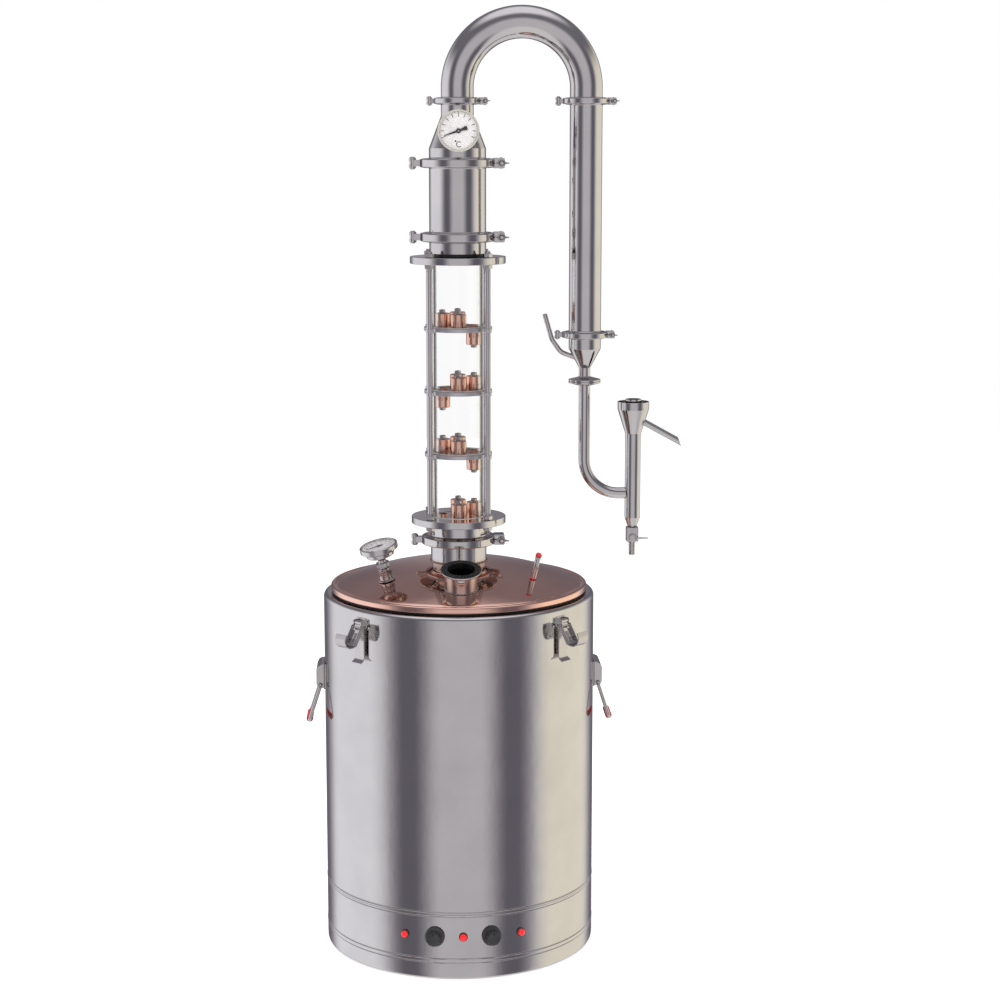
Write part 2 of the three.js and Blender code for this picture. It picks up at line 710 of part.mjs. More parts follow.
// Dial thermometer facing the front: probe, hex, case with an open dish for the pointer.
function thermometer() {
  const profile = [
    [0, -60], [4.5, -60], [4.5, -17], [7, -17], [7, -12], [DIAL_R - 3, -12], [DIAL_R, -9], [DIAL_R, -1],
    [DIAL_R - 1.5, 0], [DIAL_R - 3, 0], [DIAL_R - 3, -5], [1.5, -5], [1.5, -2], [0, -2],
  ];
  const facing = new THREE.Matrix4().makeRotationX(Math.PI / 2);
  facing.setPosition(0, -DIAL_FRONT, DIAL_Z);
  return solidOf(turnedGeometry(profile, SIDES_TUBE).applyMatrix4(facing));
}

// Needle in the dial's plane, with its point along +X before it is turned to its reading.
function thermometerPointer() {
  const thick = 0.8;
  const upperEdge = [[20, 0.3], [0, 1.4], [-5, 1.4], [-11, 3]];
  const lowerEdge = upperEdge.map(([x, y]) => [x, -y]).reverse();
  const shape = new THREE.Shape([...upperEdge, ...lowerEdge].map(([x, y]) => new THREE.Vector2(x, y)));
  const needle = solidOf(new THREE.ExtrudeGeometry(shape, { depth: thick, bevelEnabled: false }));
  const hub = rod(4, 0, thick, SIDES_SMALL);
  const body = cut(needle.add(hub), rod(1.5 + GAP, -1, thick + 1, SIDES_PIN));
  return solidOf(geometryOf(body).rotateZ(rad(POINTER_REST)).rotateX(Math.PI / 2));
}

// ---------------------------------------------------------------- gooseneck, condenser outlet and parrot

function ferruleRing(size, joint, upwards) {
  const way = upwards ? 1 : -1;
  const profile = [[size.r - size.wall, joint], [size.ferrule, joint], [size.ferrule, joint + way * size.lip],
    [size.r - 0.2, joint + way * size.taper], [size.r - size.wall, joint + way * size.taper]];
  return upwards ? profile : profile.reverse();
}

function gooseneck() {
  const foot = NECK_JOINT_Z + 0.15;
  const crest = BEND_CENTRE_Z + BEND_R;
  const corners = [[0, 0, foot], [0, 0, crest], [CONDENSER_X, 0, crest], [CONDENSER_X, 0, foot]];
  const size = TUBE_SMALL;
  const bend = pipe(rounded(corners, BEND_R, 6), size.r, size.r - size.wall, SIDES_TUBE);
  const collar = [...ferruleRing(size, foot, true)];
  const near = ring(collar, SIDES_TUBE);
  const farGeometry = turnedGeometry([...collar, collar[0]], SIDES_TUBE).translate(CONDENSER_X, 0, 0);
  return joined(bend, near, solidOf(farGeometry));
}

// Cone under the condenser with its vent pipe, drip tube and half of the union, about its own axis.
function condenserOutlet() {
  const size = TUBE_SMALL;
  const top = OUTLET_JOINT_Z - 0.15;
  const bore = size.r - size.wall;
  const unionFace = UNION_Z + 0.15;
  const body = ring([
    [DRIP_R - 1.5, unionFace], [UNION_R, unionFace], [UNION_R, unionFace + 3], [DRIP_R, unionFace + 7],
    [DRIP_R, OUTLET_CONE_BOTTOM], [size.r, OUTLET_CONE_TOP], [size.r, top - size.taper],
    [size.ferrule, top - size.lip], [size.ferrule, top], [bore, top], [bore, OUTLET_CONE_TOP],
    [DRIP_R - 1.5, OUTLET_CONE_BOTTOM],
  ], SIDES_TUBE);
  const vent = [[-15, 0, 944], [-38, 0, 953], [-52, 0, 973], [-63.5, 0, 1013]];
  return body.add(pipe(rounded(vent, 14, 3), 3.75, 0, SIDES_PIN));
}

// Parrot in the condenser's own axis frame: union half, drip tube with its elbow, hydrometer tube,
// overflow cup and spout.
function parrot() {
  const face = UNION_Z - 0.15;
  const x = PARROT_X - CONDENSER_X;
  const route = rounded([[0, 0, face - 1], [0, 0, ELBOW_Z], [x - PARROT_R + 0.8, 0, ELBOW_Z]], ELBOW_R, 6);
  const drip = pipe(route, DRIP_R, DRIP_R - 1.5, SIDES_SMALL);
  const half = ring([[DRIP_R - 1.5, face - 7], [DRIP_R, face - 7], [UNION_R, face - 3], [UNION_R, face],
    [DRIP_R - 1.5, face]], SIDES_TUBE);
  const tubeGeometry = turnedGeometry([
    [0, VALVE_TOP], [7, VALVE_TOP], [PARROT_R, 688], [PARROT_R, 823], [25, 862], [25, 874], [23.5, 874],
    [23.5, 862.4], [PARROT_R, 828], [PARROT_R, PARROT_TOP], [PARROT_R - 1.5, PARROT_TOP],
    [PARROT_R - 1.5, 690], [5, 677], [0, 677],
  ], SIDES_TUBE);
  const tube = solidOf(tubeGeometry.translate(x, 0, 0));
  const inlet = rodAlong(DRIP_R - 1.5, [x - PARROT_R - 2, 0, ELBOW_Z], [x, 0, ELBOW_Z], SIDES_SMALL);
  const onSpout = (out) => [x + out, 0, SPOUT_Z - (out - SPOUT_START) * Math.tan(rad(SPOUT_SLOPE))];
  const spout = rodAlong(SPOUT_R, onSpout(SPOUT_START), onSpout(SPOUT_END + 2 * THROUGH), SIDES_SMALL);
  const spoutBore = rodAlong(SPOUT_BORE_R, onSpout(SPOUT_START - 2), onSpout(SPOUT_END + 3 * THROUGH), SIDES_SMALL);
  const beyondTip = new THREE.BoxGeometry(60, 30, 60).translate(30, 0, 0);
  const tip = solidOf(beyondTip.rotateY(rad(-SPOUT_TIP_TILT)).translate(...onSpout(SPOUT_END)));
  return cut(joined(drip, half, tube, spout), inlet, spoutBore, tip);
}

function drainValve() {
  const half = VALVE_SIZE / 2;
  const body = block([-half, -half, 649], [half, half, VALVE_TOP]);
  const nipple = turned([[0, 650], [6.5, 650], [6.5, 645], [4.5, 644], [5.5, 636], [4.5, 635], [5.5, 627.5],
    [4.5, 626.5], [0, 626.5]].reverse(), SIDES_SMALL);
  const boss = rodAlong(6, [0, -half + 1, VALVE_AXIS_Z], [0, -half - 4, VALVE_AXIS_Z], SIDES_SMALL);
  return joined(body, nipple, boss);
}

function drainValveLever() {
  const back = -VALVE_SIZE / 2 - 4 - GAP;
  const hub = rodAlong(6, [0, back, VALVE_AXIS_Z], [0, back - 3, VALVE_AXIS_Z], SIDES_SMALL);
  return hub.add(block([0, back - 2.5, VALVE_AXIS_Z - 2], [VALVE_LEVER_REACH, back, VALVE_AXIS_Z + 2]));
}

// ---------------------------------------------------------------- finishes

function finish(color, roughness, metalness, extra = {}) {
  return () => new THREE.MeshStandardMaterial({ color, roughness, metalness, ...extra });
}

const steel = finish(0xc9c6c4, 0.12, 1);
const brushed = finish(0xb9b5b2, 0.35, 1);
const copper = finish(0xd39a80, 0.15, 1);
const glass = finish(0xf4f8f8, 0.02, 0, { transparent: true, opacity: 0.25 });
const black = finish(0x17171a, 0.4, 0);
const red = finish(0xc01824, 0.35, 0);
const rubber = finish(0x101012, 0.7, 0);

// ---------------------------------------------------------------- assembly

const still = new THREE.Group();

function add(parent, name, solid, material) {
  const mesh = new THREE.Mesh(geometryOf(solid), material());
  mesh.name = name;
  parent.add(mesh);
  return mesh;
}

function groupAt(azimuth, x, y, z) {
  const turn = new THREE.Group();
  turn.rotation.z = rad(azimuth);
  const place = new THREE.Group();
  place.position.set(x, y, z);
  turn.add(place);
  still.add(turn);
  return place;
}

function addBoiler() {
  add(still, "boiler_vessel", boilerVessel(), steel);
  add(still, "base_pan", basePan(), steel);
  add(still, "heating_element", heatingElement(), brushed);

  const controlZ = 69;
  const controls = [
    ["pilot_lamp_left", -24.5, pilotLamp, red], ["power_knob_left", -11.7, powerKnob, black],
    ["pilot_lamp_center", 0, pilotLamp, red], ["power_knob_right", 11.7, powerKnob, black],
    ["pilot_lamp_right", 24.5, pilotLamp, red],
  ];
  for (const [name, azimuth, make, material] of controls) {
    const place = groupAt(azimuth, 0, -BOILER_R - GAP, controlZ);
    place.rotation.x = Math.PI / 2;
    add(place, name, make(), material);
  }

  for (const [side, azimuth] of [["left", -90], ["right", 90]]) {
    const place = groupAt(azimuth, 0, -BOILER_R - HANDLE_PIVOT[0], HANDLE_PIVOT[1]);
    place.rotation.x = -rad(HANDLE_REST);
    add(place, `carry_handle_${side}`, carryHandle(), brushed);
  }

  for (const [corner, azimuth] of Object.entries(LATCH_AZIMUTHS)) {
    const place = groupAt(azimuth, 0, -BOILER_R, 0);
    add(place, `latch_lever_${corner}`, latchLever(), brushed);
    add(place, `latch_claw_${corner}`, latchClaw(), brushed);
  }
}

function addLid() {
  add(still, "lid_dome", lidDome(), copper);
  add(still, "lid_gasket", lidGasket(), rubber);
  add(still, "lid_collar", lidCollar(), steel);

  const fittings = [
    [FILLER_AZIMUTH, [["filler_neck", fillerNeck, steel]]],
    [LID_DIAL_AZIMUTH, [["lid_thermometer", lidThermometer, brushed]]],
    [RELIEF_AZIMUTH, [["relief_tube", reliefTube, brushed], ["relief_plug", reliefPlug, red]]],
  ];
  for (const [azimuth, pieces] of fittings) {
    const place = groupAt(azimuth, 0, -FITTING_RADIUS, FITTING_Z);
    place.rotation.x = FITTING_TILT;
    for (const [name, make, material] of pieces) {
      add(place, name, make(), material);
    }
  }
}

function addColumn() {
  add(still, "column_base", columnBase(), steel);
  glassSections().forEach((section, i) => add(still, `glass_section_${i + 1}`, section, glass));
  PLATE_HEIGHTS.forEach((height, i) => {
    const mirrored = i % 2 === 1;
    const plate = bubblePlate(height, mirrored ? CAPS_RIGHT : CAPS_LEFT, mirrored ? 180 : 0);
    add(still, `bubble_plate_${i + 1}`, plate, copper);
  });
  add(still, "column_top_flange", columnTopFlange(), steel);

  const corners = { front_left: [-1, -1], front_right: [1, -1], back_left: [-1, 1], back_right: [1, 1] };
  for (const [corner, [x, y]] of Object.entries(corners)) {
    const mesh = add(still, `tie_rod_${corner}`, tieRod(), brushed);
    mesh.position.set(x * ROD_OFFSET, y * ROD_OFFSET, 0);
  }
}

function addHead() {
  add(still, "dephlegmator", dephlegmator(), steel);
  add(still, "head_reducer", headReducer(), steel);
  add(still, "head_thermometer", thermometer(), brushed);
  const needle = add(still, "thermometer_pointer", thermometerPointer(), black);
  needle.position.set(0, -DIAL_FRONT + 3.2, DIAL_Z);
}

function addProductSide() {
  add(still, "gooseneck", gooseneck(), steel);
  const pieces = [
    ["condenser", condenser(), steel, CONDENSER_X],
    ["condenser_outlet", condenserOutlet(), steel, CONDENSER_X],
    ["parrot", parrot(), steel, CONDENSER_X],
    ["drain_valve", drainValve(), brushed, PARROT_X],
    ["drain_valve_lever", drainValveLever(), brushed, PARROT_X],
  ];
  for (const [name, solid, material, x] of pieces) {
    add(still, name, solid, material).position.x = x;
  }
}

function addClamps() {
  const clamps = [
    ["collar", CLAMP_LARGE, 0, COLLAR_JOINT_Z],
    ["column", CLAMP_LARGE, 0, COLUMN_JOINT_Z],
    ["head", CLAMP_LARGE, 0, HEAD_JOINT_Z],
    ["neck", CLAMP_SMALL, 0, NECK_JOINT_Z],
    ["condenser", CLAMP_SMALL, CONDENSER_X, NECK_JOINT_Z],
    ["outlet", CLAMP_SMALL, CONDENSER_X, OUTLET_JOINT_Z],
  ];
  for (const [name, size, x, z] of clamps) {
    add(still, `clamp_ring_${name}`, clampRing(size), brushed).position.set(x, 0, z);
    add(still, `clamp_bolt_${name}`, clampBolt(size), brushed).position.set(x, 0, z);
  }
}

addBoiler();
addLid();
addColumn();
addHead();
addProductSide();
addClamps();

export default still;
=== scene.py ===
"""Looks of the electric column still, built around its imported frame.

Shapes are modelled in millimetres in the frame's own axes: +Z up, -Y the front, and the gooseneck
reaching over to +X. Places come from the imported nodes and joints. An azimuth counts from the front
towards +X.
"""

import json
import math

import bmesh
import bpy
from mathutils import Matrix, Vector


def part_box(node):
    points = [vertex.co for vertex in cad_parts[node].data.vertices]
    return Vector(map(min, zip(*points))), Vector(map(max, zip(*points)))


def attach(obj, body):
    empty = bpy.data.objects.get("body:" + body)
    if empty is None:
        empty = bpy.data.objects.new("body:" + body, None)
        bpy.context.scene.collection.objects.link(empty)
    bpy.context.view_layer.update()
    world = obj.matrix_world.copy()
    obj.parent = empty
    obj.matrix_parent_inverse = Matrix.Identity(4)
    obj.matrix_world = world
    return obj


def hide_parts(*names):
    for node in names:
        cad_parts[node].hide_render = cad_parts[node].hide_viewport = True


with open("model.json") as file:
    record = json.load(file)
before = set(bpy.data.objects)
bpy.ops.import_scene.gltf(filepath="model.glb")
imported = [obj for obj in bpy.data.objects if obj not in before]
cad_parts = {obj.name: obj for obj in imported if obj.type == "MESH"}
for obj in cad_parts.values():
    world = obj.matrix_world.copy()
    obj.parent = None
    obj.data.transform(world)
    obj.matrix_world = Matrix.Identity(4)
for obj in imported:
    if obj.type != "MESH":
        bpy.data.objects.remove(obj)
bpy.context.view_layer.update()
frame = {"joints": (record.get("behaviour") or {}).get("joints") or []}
MM = 0.001
JOINTS = {joint["name"]: joint for joint in frame["joints"]}


def extent(node):
    """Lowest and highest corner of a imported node, in millimetres."""
    low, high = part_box(node)
    return low / MM, high / MM


def pivot(joint):
    return Vector(JOINTS[joint]["pos_m"]) / MM


# ---------------------------------------------------------------- driving dimensions

BOILER_R = extent("base_pan")[1].x
PAN_TOP = extent("base_pan")[1].z
LIP_Z = extent("lid_gasket")[0].z
LID_UNDER = extent("lid_gasket")[1].z
LID_R = extent("lid_dome")[1].x
SHOULDER_R = 12
WALL = 2
LIP_BORE_R = 188
LAMP_AZIMUTH = 24.5
LAMP_HEIGHT = 69
GROOVE_HEIGHTS = {"pan": 30, "vessel": PAN_TOP}

DOME_R = 520
COLLAR_BORE_R = 44.75
DOME_CENTRE_Z = extent("lid_dome")[1].z - math.sqrt(DOME_R ** 2 - COLLAR_BORE_R ** 2)
FITTING_RADIUS = 138
FITTING_TILT = math.degrees(math.asin(FITTING_RADIUS / DOME_R))
FITTING_Z = DOME_CENTRE_Z + math.sqrt(DOME_R ** 2 - FITTING_RADIUS ** 2)

# Sanitary tube sizes: outside radius, ferrule radius, wall, ferrule edge and taper height.
LARGE = {"r": 44.45, "ferrule": 53, "wall": 1.6, "lip": 2.9, "taper": 8}
SMALL = {"r": 25.4, "ferrule": 32, "wall": 1.6, "lip": 1.8, "taper": 6}

BASE_FLANGE_TOP = extent("glass_section_1")[0].z
TOP_FLANGE_UNDER = extent("glass_section_4")[1].z
FLANGE_THICK = 11
TOP_FLANGE_TOP = TOP_FLANGE_UNDER + FLANGE_THICK
FLANGE_R = 75
PLATE_HEIGHTS = [(extent(f"glass_section_{i}")[1].z + extent(f"glass_section_{i + 1}")[0].z) / 2
                 for i in (1, 2, 3)]
PLATE_THICK = 6
GLASS_R = 42
GLASS_BORE_R = 38.5
PLATE_R = 53.5
CAP_CIRCLE_R = 24.75
CAP_R = 12.25
CAP_H = 22
DOWNCOMER_HOLE_R = 7.6
EAR_R = 6.2
ROD_OFFSET = (extent("tie_rod_back_right")[0].x + extent("tie_rod_back_right")[1].x) / 2
ROD_R = 4.6

CONDENSER_X = pivot("parrot_swivel").x
UNION_Z = pivot("parrot_swivel").z
BEND_R = CONDENSER_X / 2
PARROT_X = pivot("drain_valve_turn").x
VALVE_AXIS_Z = pivot("drain_valve_turn").z
DIAL_Z = pivot("thermometer_pointer_turn").z
POINTER_REST = 199  # degrees from +X as the dial is read
BRACKET_HALF = 28
HANDLE_HALF = 34
HANDLE_REST = 18
HANDLE_BEND_R = 5
RIVET_R = 2.5  # small enough for the claw's cheeks to swing past
LEVER_PIVOT = (6, 554)  # outwards from the wall, and height
CLAW_PIVOT = (9, 547)
FILLER_AZIMUTH = 0
LID_DIAL_AZIMUTH = -56
RELIEF_AZIMUTH = 56
FILLER_TOP = 30.3  # above the dome, as RELIEF_TOP is
RELIEF_TOP = 37.3
LATCHES = {"front_left": -45, "front_right": 45, "back_left": -135, "back_right": 135}


# ---------------------------------------------------------------- solids

class Solid:
    """Points in millimetres and the faces between them."""

    def __init__(self, points, faces):
        self.points = [Vector(point) for point in points]
        self.faces = [tuple(face) for face in faces]

    def placed(self, *matrices):
        place = Matrix.Identity(4)
        for matrix in matrices:
            place = place @ matrix
        return Solid([place @ point for point in self.points], self.faces)

    def __add__(self, other):
        shift = len(self.points)
        moved = [tuple(i + shift for i in face) for face in other.faces]
        return Solid(self.points + other.points, self.faces + moved)


def joined(solids):
    solids = list(solids)
    total = solids[0]
    for solid in solids[1:]:
        total = total + solid
    return total


def shift(x=0.0, y=0.0, z=0.0):
    return Matrix.Translation((x, y, z))


def turn(degrees, axis):
    return Matrix.Rotation(math.radians(degrees), 4, axis)


FLIP = Matrix.Diagonal((1, 1, -1, 1))


def rounded(outline, closed=True):
    """An outline whose points (a, b, radius) are rounded to that radius."""
    count = len(outline)
    result = []
    for i, point in enumerate(outline):
        here = Vector(point[:2])
        inner = closed or 0 < i < count - 1
        if len(point) < 3 or not inner:
            result.append(here)
            continue
        before = Vector(outline[i - 1][:2])
        after = Vector(outline[(i + 1) % count][:2])
        into = (here - before).normalized()
        out = (after - here).normalized()
        angle = into.angle_signed(out)
        if abs(angle) < 1e-3:
            continue
        room = 0.49 * min((here - before).length, (after - here).length)
        reach = min(point[2] * math.tan(abs(angle) / 2), room)
        radius = reach / math.tan(abs(angle) / 2)
        side = Vector((-into.y, into.x)) if into.cross(out) > 0 else Vector((into.y, -into.x))
        start = here - into * reach
        centre = start + side * radius
        way = 1 if into.cross(out) > 0 else -1
        steps = max(2, math.ceil(abs(angle) / math.radians(12)))
        for k in range(steps + 1):
            spin = Matrix.Rotation(way * abs(angle) * k / steps, 2)
            result.append(centre + spin @ (start - centre))
    return result


def skin(rings, closed_rings=True, closed_run=False):
    """Quads between neighbouring rings of points, with open ends closed by a face."""
    count = len(rings[0])
    points = [point for ring in rings for point in ring]
    faces = []
    for i in range(len(rings) if closed_run else len(rings) - 1):
        a = i * count
        b = (i + 1) % len(rings) * count
        for j in range(count if closed_rings else count - 1):
            k = (j + 1) % count
            faces.append((a + j, a + k, b + k, b + j))
    if not closed_run:
        faces.append(range(count - 1, -1, -1))
        faces.append(range((len(rings) - 1) * count, len(rings) * count))
    return Solid(points, faces)


def lathe(profile, sides=96, arc=None):
    """Turns (radius, height, rounding) points about +Z. Without both ends on the axis it closes on
    itself. arc limits it to a start and an end angle from +X."""
    on_axis = profile[0][0] == 0 and profile[-1][0] == 0
    outline = rounded(profile, closed=not on_axis)
    if arc:
        steps = max(2, round(sides * (arc[1] - arc[0]) / 360))
        angles = [math.radians(arc[0] + (arc[1] - arc[0]) * i / steps) for i in range(steps + 1)]
    else:
        angles = [2 * math.pi * i / sides for i in range(sides)]
    rings = [[(p.x * math.cos(a), p.x * math.sin(a), p.y) for p in outline] for a in angles]
    return skin(rings, closed_rings=not on_axis, closed_run=not arc)


def rod(radius, low, high, edge=0.4, sides=48):
    return lathe([(0, low), (radius, low, edge), (radius, high, edge), (0, high)], sides)


def hollow(radius, bore, low, high, edge=0.3, sides=96):
    return lathe([(bore, low, edge), (radius, low, edge), (radius, high, edge), (bore, high, edge)], sides)


def prism(outline, low, high):
    """A closed outline carried along +Z."""
    corners = rounded(outline)
    return skin([[(p.x, p.y, z) for p in corners] for z in (low, high)])


def strip(line, thickness, round_to=3):
    """The outline of a bent sheet: even thickness along a line whose corners are rounded."""
    middle = rounded([(x, y, round_to) for x, y in line], closed=False)
    left = []
    right = []
    for i, point in enumerate(middle):
        way = middle[min(i + 1, len(middle) - 1)] - middle[max(i - 1, 0)]
        side = Vector((-way.y, way.x)).normalized() * thickness / 2
        left.append(tuple(point + side))
        right.append(tuple(point - side))
    return right + left[::-1]


def disc(x, y, radius, sides=24):
    angles = [2 * math.pi * i / sides for i in range(sides)]
    return [(x + radius * math.cos(a), y + radius * math.sin(a)) for a in angles]


def bent(corners, radius, step=6):
    """A path along straight legs whose corners are bent to a radius."""
    at = [Vector(corner) for corner in corners]
    path = [at[0]]
    for before, here, after in zip(at, at[1:], at[2:]):
        into = (here - before).normalized()
        out = (after - here).normalized()
        angle = into.angle(out)
        start = here - into * radius * math.tan(angle / 2)
        axis = into.cross(out).normalized()
        centre = start + axis.cross(into) * radius
        steps = max(2, round(math.degrees(angle) / step))
        for k in range(steps + 1):
            path.append(centre + Matrix.Rotation(angle * k / steps, 3, axis) @ (start - centre))
    path.append(at[-1])
    return path


def pipe(path, radius, bore=0.0, sides=32, mitre=None):
    """A round bar or tube along a path. mitre (point, normal) cuts its far end on a slant."""
    path = [Vector(point) for point in path]
    ways = []
    for i in range(len(path)):
        ways.append((path[min(i + 1, len(path) - 1)] - path[max(i - 1, 0)]).normalized())
    side = ways[0].orthogonal().normalized()
    frames = []
    for place, way in zip(path, ways):
        side = (side - way * side.dot(way)).normalized()
        frames.append((place, side, way.cross(side)))

    def ring(index, size):
        place, across, up = frames[index]
        points = []
        for k in range(sides):
            angle = 2 * math.pi * k / sides
            points.append(place + (across * math.cos(angle) + up * math.sin(angle)) * size)
        if mitre and index == len(frames) - 1:
            at, normal = Vector(mitre[0]), Vector(mitre[1])
            way = ways[-1]
            points = [p + way * ((at - p).dot(normal) / way.dot(normal)) for p in points]
        return points

    outer = [ring(i, radius) for i in range(len(frames))]
    if not bore:
        return skin(outer)
    inner = [ring(i, bore) for i in range(len(frames) - 1, -1, -1)]
    return skin(outer + inner, closed_run=True)


def along(start, end):
    """The matrix that carries +Z from one point towards another."""
    way = Vector(end) - Vector(start)
    return Matrix.Translation(start) @ way.to_track_quat("Z", "Y").to_matrix().to_4x4()


def nut(radius, height, bore=0.0, chamfer=0.9):
    """A hexagonal nut from z 0 up, with its corners turned off at both ends."""
    flat = radius * math.cos(math.pi / 6)
    rings = []
    for k in range(48):
        angle = 2 * math.pi * k / 48
        to_flat = (angle + math.pi / 6) % (math.pi / 3) - math.pi / 6
        edge = flat / math.cos(to_flat)
        drop = (edge - flat * 0.97) * math.tan(math.radians(30)) * chamfer
        rows = [(bore, 0), (flat * 0.95, 0), (edge, drop), (edge, height - drop), (flat * 0.95, height),
                (bore, height)]
        rings.append([(r * math.cos(angle), r * math.sin(angle), z) for r, z in rows])
    return skin(rings, closed_rings=bore > 0, closed_run=True)


def threaded(radius, low, high, pitch=1.25, depth=0.45, sides=24):
    """A threaded bar along +Z, with a helical thread."""
    rows = math.ceil((high - low) / pitch * 6)
    rings = []
    for row in range(rows + 1):
        z = low + (high - low) * row / rows
        edge = min(1, (high - z) / 1.5 + 0.5, (z - low) / 1.5 + 0.5)
        ring = []
        for k in range(sides):
            angle = 2 * math.pi * k / sides
            wave = abs((z / pitch - k / sides) % 1 - 0.5) * 2
            size = (radius - depth * wave) * (0.7 + 0.3 * edge)
            ring.append((size * math.cos(angle), size * math.sin(angle), z))
        rings.append(ring)
    return skin(rings)


def slotted_bell(radius, height, wall=1.2, slot_height=10.0, slots=9):
    """A bell open at the bottom, with slots round its lower wall."""
    columns = slots * 8
    inner = radius - wall
    top = rounded([(radius, slot_height), (radius, height, 1.5), (0, height)], closed=False)
    under = rounded([(0, height - wall), (inner, height - wall, 1), (inner, slot_height)], closed=False)
    shared = top + under
    points = []
    faces = []
    row = len(shared) + 2
    for i in range(columns):
        angle = 2 * math.pi * i / columns
        places = [(radius, 0)] + [tuple(p) for p in shared] + [(inner, 0)]
        points += [(r * math.cos(angle), r * math.sin(angle), z) for r, z in places]
    is_slot = [i % 8 < 2 for i in range(columns)]
    for i in range(columns):
        a = i * row
        b = (i + 1) % columns * row
        for j in range(1, row - 2):
            faces.append((a + j, b + j, b + j + 1, a + j + 1))
        if is_slot[i]:
            faces.append((a + 1, a + row - 2, b + row - 2, b + 1))
        else:
            faces.append((a, b, b + 1, a + 1))
            faces.append((a + row - 2, b + row - 2, b + row - 1, a + row - 1))
            faces.append((a + row - 1, b + row - 1, b, a))
        if is_slot[i] != is_slot[i - 1]:
            faces.append((a, a + 1, a + row - 2, a + row - 1))
    return Solid(points, faces)


# ---------------------------------------------------------------- node materials

def rgb(red, green, blue):
    """Linear colour of a colour given as 0 to 255 on screen."""
    def linear(value):
        share = value / 255
        return share / 12.92 if share <= 0.04045 else ((share + 0.055) / 1.055) ** 2.4
    return (linear(red), linear(green), linear(blue), 1)


class Nodes:
    """A small helper that adds shader nodes to a tree and links them."""

    def __init__(self, tree):
        self.tree = tree
        self.tree.nodes.clear()

    def add(self, kind, inputs=None, **settings):
        made = self.tree.nodes.new("ShaderNode" + kind)
        for name, value in settings.items():
            setattr(made, name, value)
        for key, value in (inputs or {}).items():
            if isinstance(value, bpy.types.NodeSocket):
                self.tree.links.new(value, made.inputs[key])
            else:
                made.inputs[key].default_value = value
        return made

    def math(self, operation, a, b=0.0, c=0.0, clamp=False):
        made = self.add("Math", {0: a, 1: b, 2: c}, operation=operation, use_clamp=clamp)
        return made.outputs[0]

    def spread(self, value, low, high, to_low=0.0, to_high=1.0, smooth=False):
        """Maps low..high of a value to to_low..to_high, and holds it beyond."""
        kind = "SMOOTHSTEP" if smooth else "LINEAR"
        inputs = {0: value, 1: low, 2: high, 3: to_low, 4: to_high}
        made = self.add("MapRange", inputs, interpolation_type=kind)
        return made.outputs[0]

    def mix(self, factor, a, b, blend="MIX"):
        made = self.add("Mix", {0: factor, 6: a, 7: b}, data_type="RGBA", blend_type=blend)
        return made.outputs[2]

    def noise(self, scale, stretch=(1, 1, 1), detail=3.0, roughness=0.5):
        """Noise over the object in metres: scale counts features to the metre."""
        coordinates = self.add("TexCoord").outputs["Object"]
        placed = self.add("Mapping", {"Vector": coordinates, "Scale": stretch}).outputs[0]
        made = self.add("TexNoise", {"Vector": placed, "Scale": scale, "Detail": detail,
                                     "Roughness": roughness})
        return made.outputs[0]

    def bump(self, height, strength, distance):
        made = self.add("Bump", {"Height": height, "Strength": strength, "Distance": distance})
        return made.outputs[0]

    def finish(self, shader):
        self.add("OutputMaterial", {"Surface": shader})


def material(name):
    made = bpy.data.materials.new(name)
    made.use_nodes = True
    return made, Nodes(made.node_tree)


def metal(name, colour, dull, roughness, lines=(1, 1, 60), line_depth=0.00002, wave=0.0004):
    """Worked metal: polishing lines, an uneven polish, a slow waviness of the sheet and duller patches."""
    made, n = material(name)
    patches = n.noise(14, detail=4)
    scratches = n.noise(30, lines, detail=5, roughness=0.65)
    smear = n.noise(55, (1, 1, 0.4), detail=2)
    colours = n.mix(n.spread(patches, 0.35, 0.75), colour, dull)
    shine = n.spread(patches, 0.3, 0.75, roughness * 0.8, roughness * 1.25)
    shine = n.math("ADD", shine, n.spread(scratches, 0.3, 0.8, 0, roughness * 0.5))
    sheet = n.bump(smear, 0.35, wave)
    grain = n.add("Bump", {"Height": scratches, "Strength": 0.5, "Distance": line_depth, "Normal": sheet})
    shader = n.add("BsdfPrincipled", {"Base Color": colours, "Metallic": 1.0, "Roughness": shine,
                                      "Normal": grain.outputs[0]})
    n.finish(shader.outputs[0])
    return made


def plastic(name, colour, shade, roughness, grain=900, depth=0.00006, glow=0.0, sheen=0.0):
    """Moulded plastic or rubber: fine grain, slight shade changes and an uneven shine."""
    made, n = material(name)
    patches = n.noise(40, detail=3)
    fine = n.noise(grain, detail=2)
    colours = n.mix(n.spread(patches, 0.35, 0.7), colour, shade)
    shine = n.spread(patches, 0.3, 0.7, roughness * 0.85, roughness * 1.2)
    inputs = {"Base Color": colours, "Roughness": shine, "Normal": n.bump(fine, 0.5, depth),
              "Sheen Weight": sheen}
    if glow:
        inputs["Emission Color"] = colours
        inputs["Emission Strength"] = glow
    n.finish(n.add("BsdfPrincipled", inputs).outputs[0])
    return made


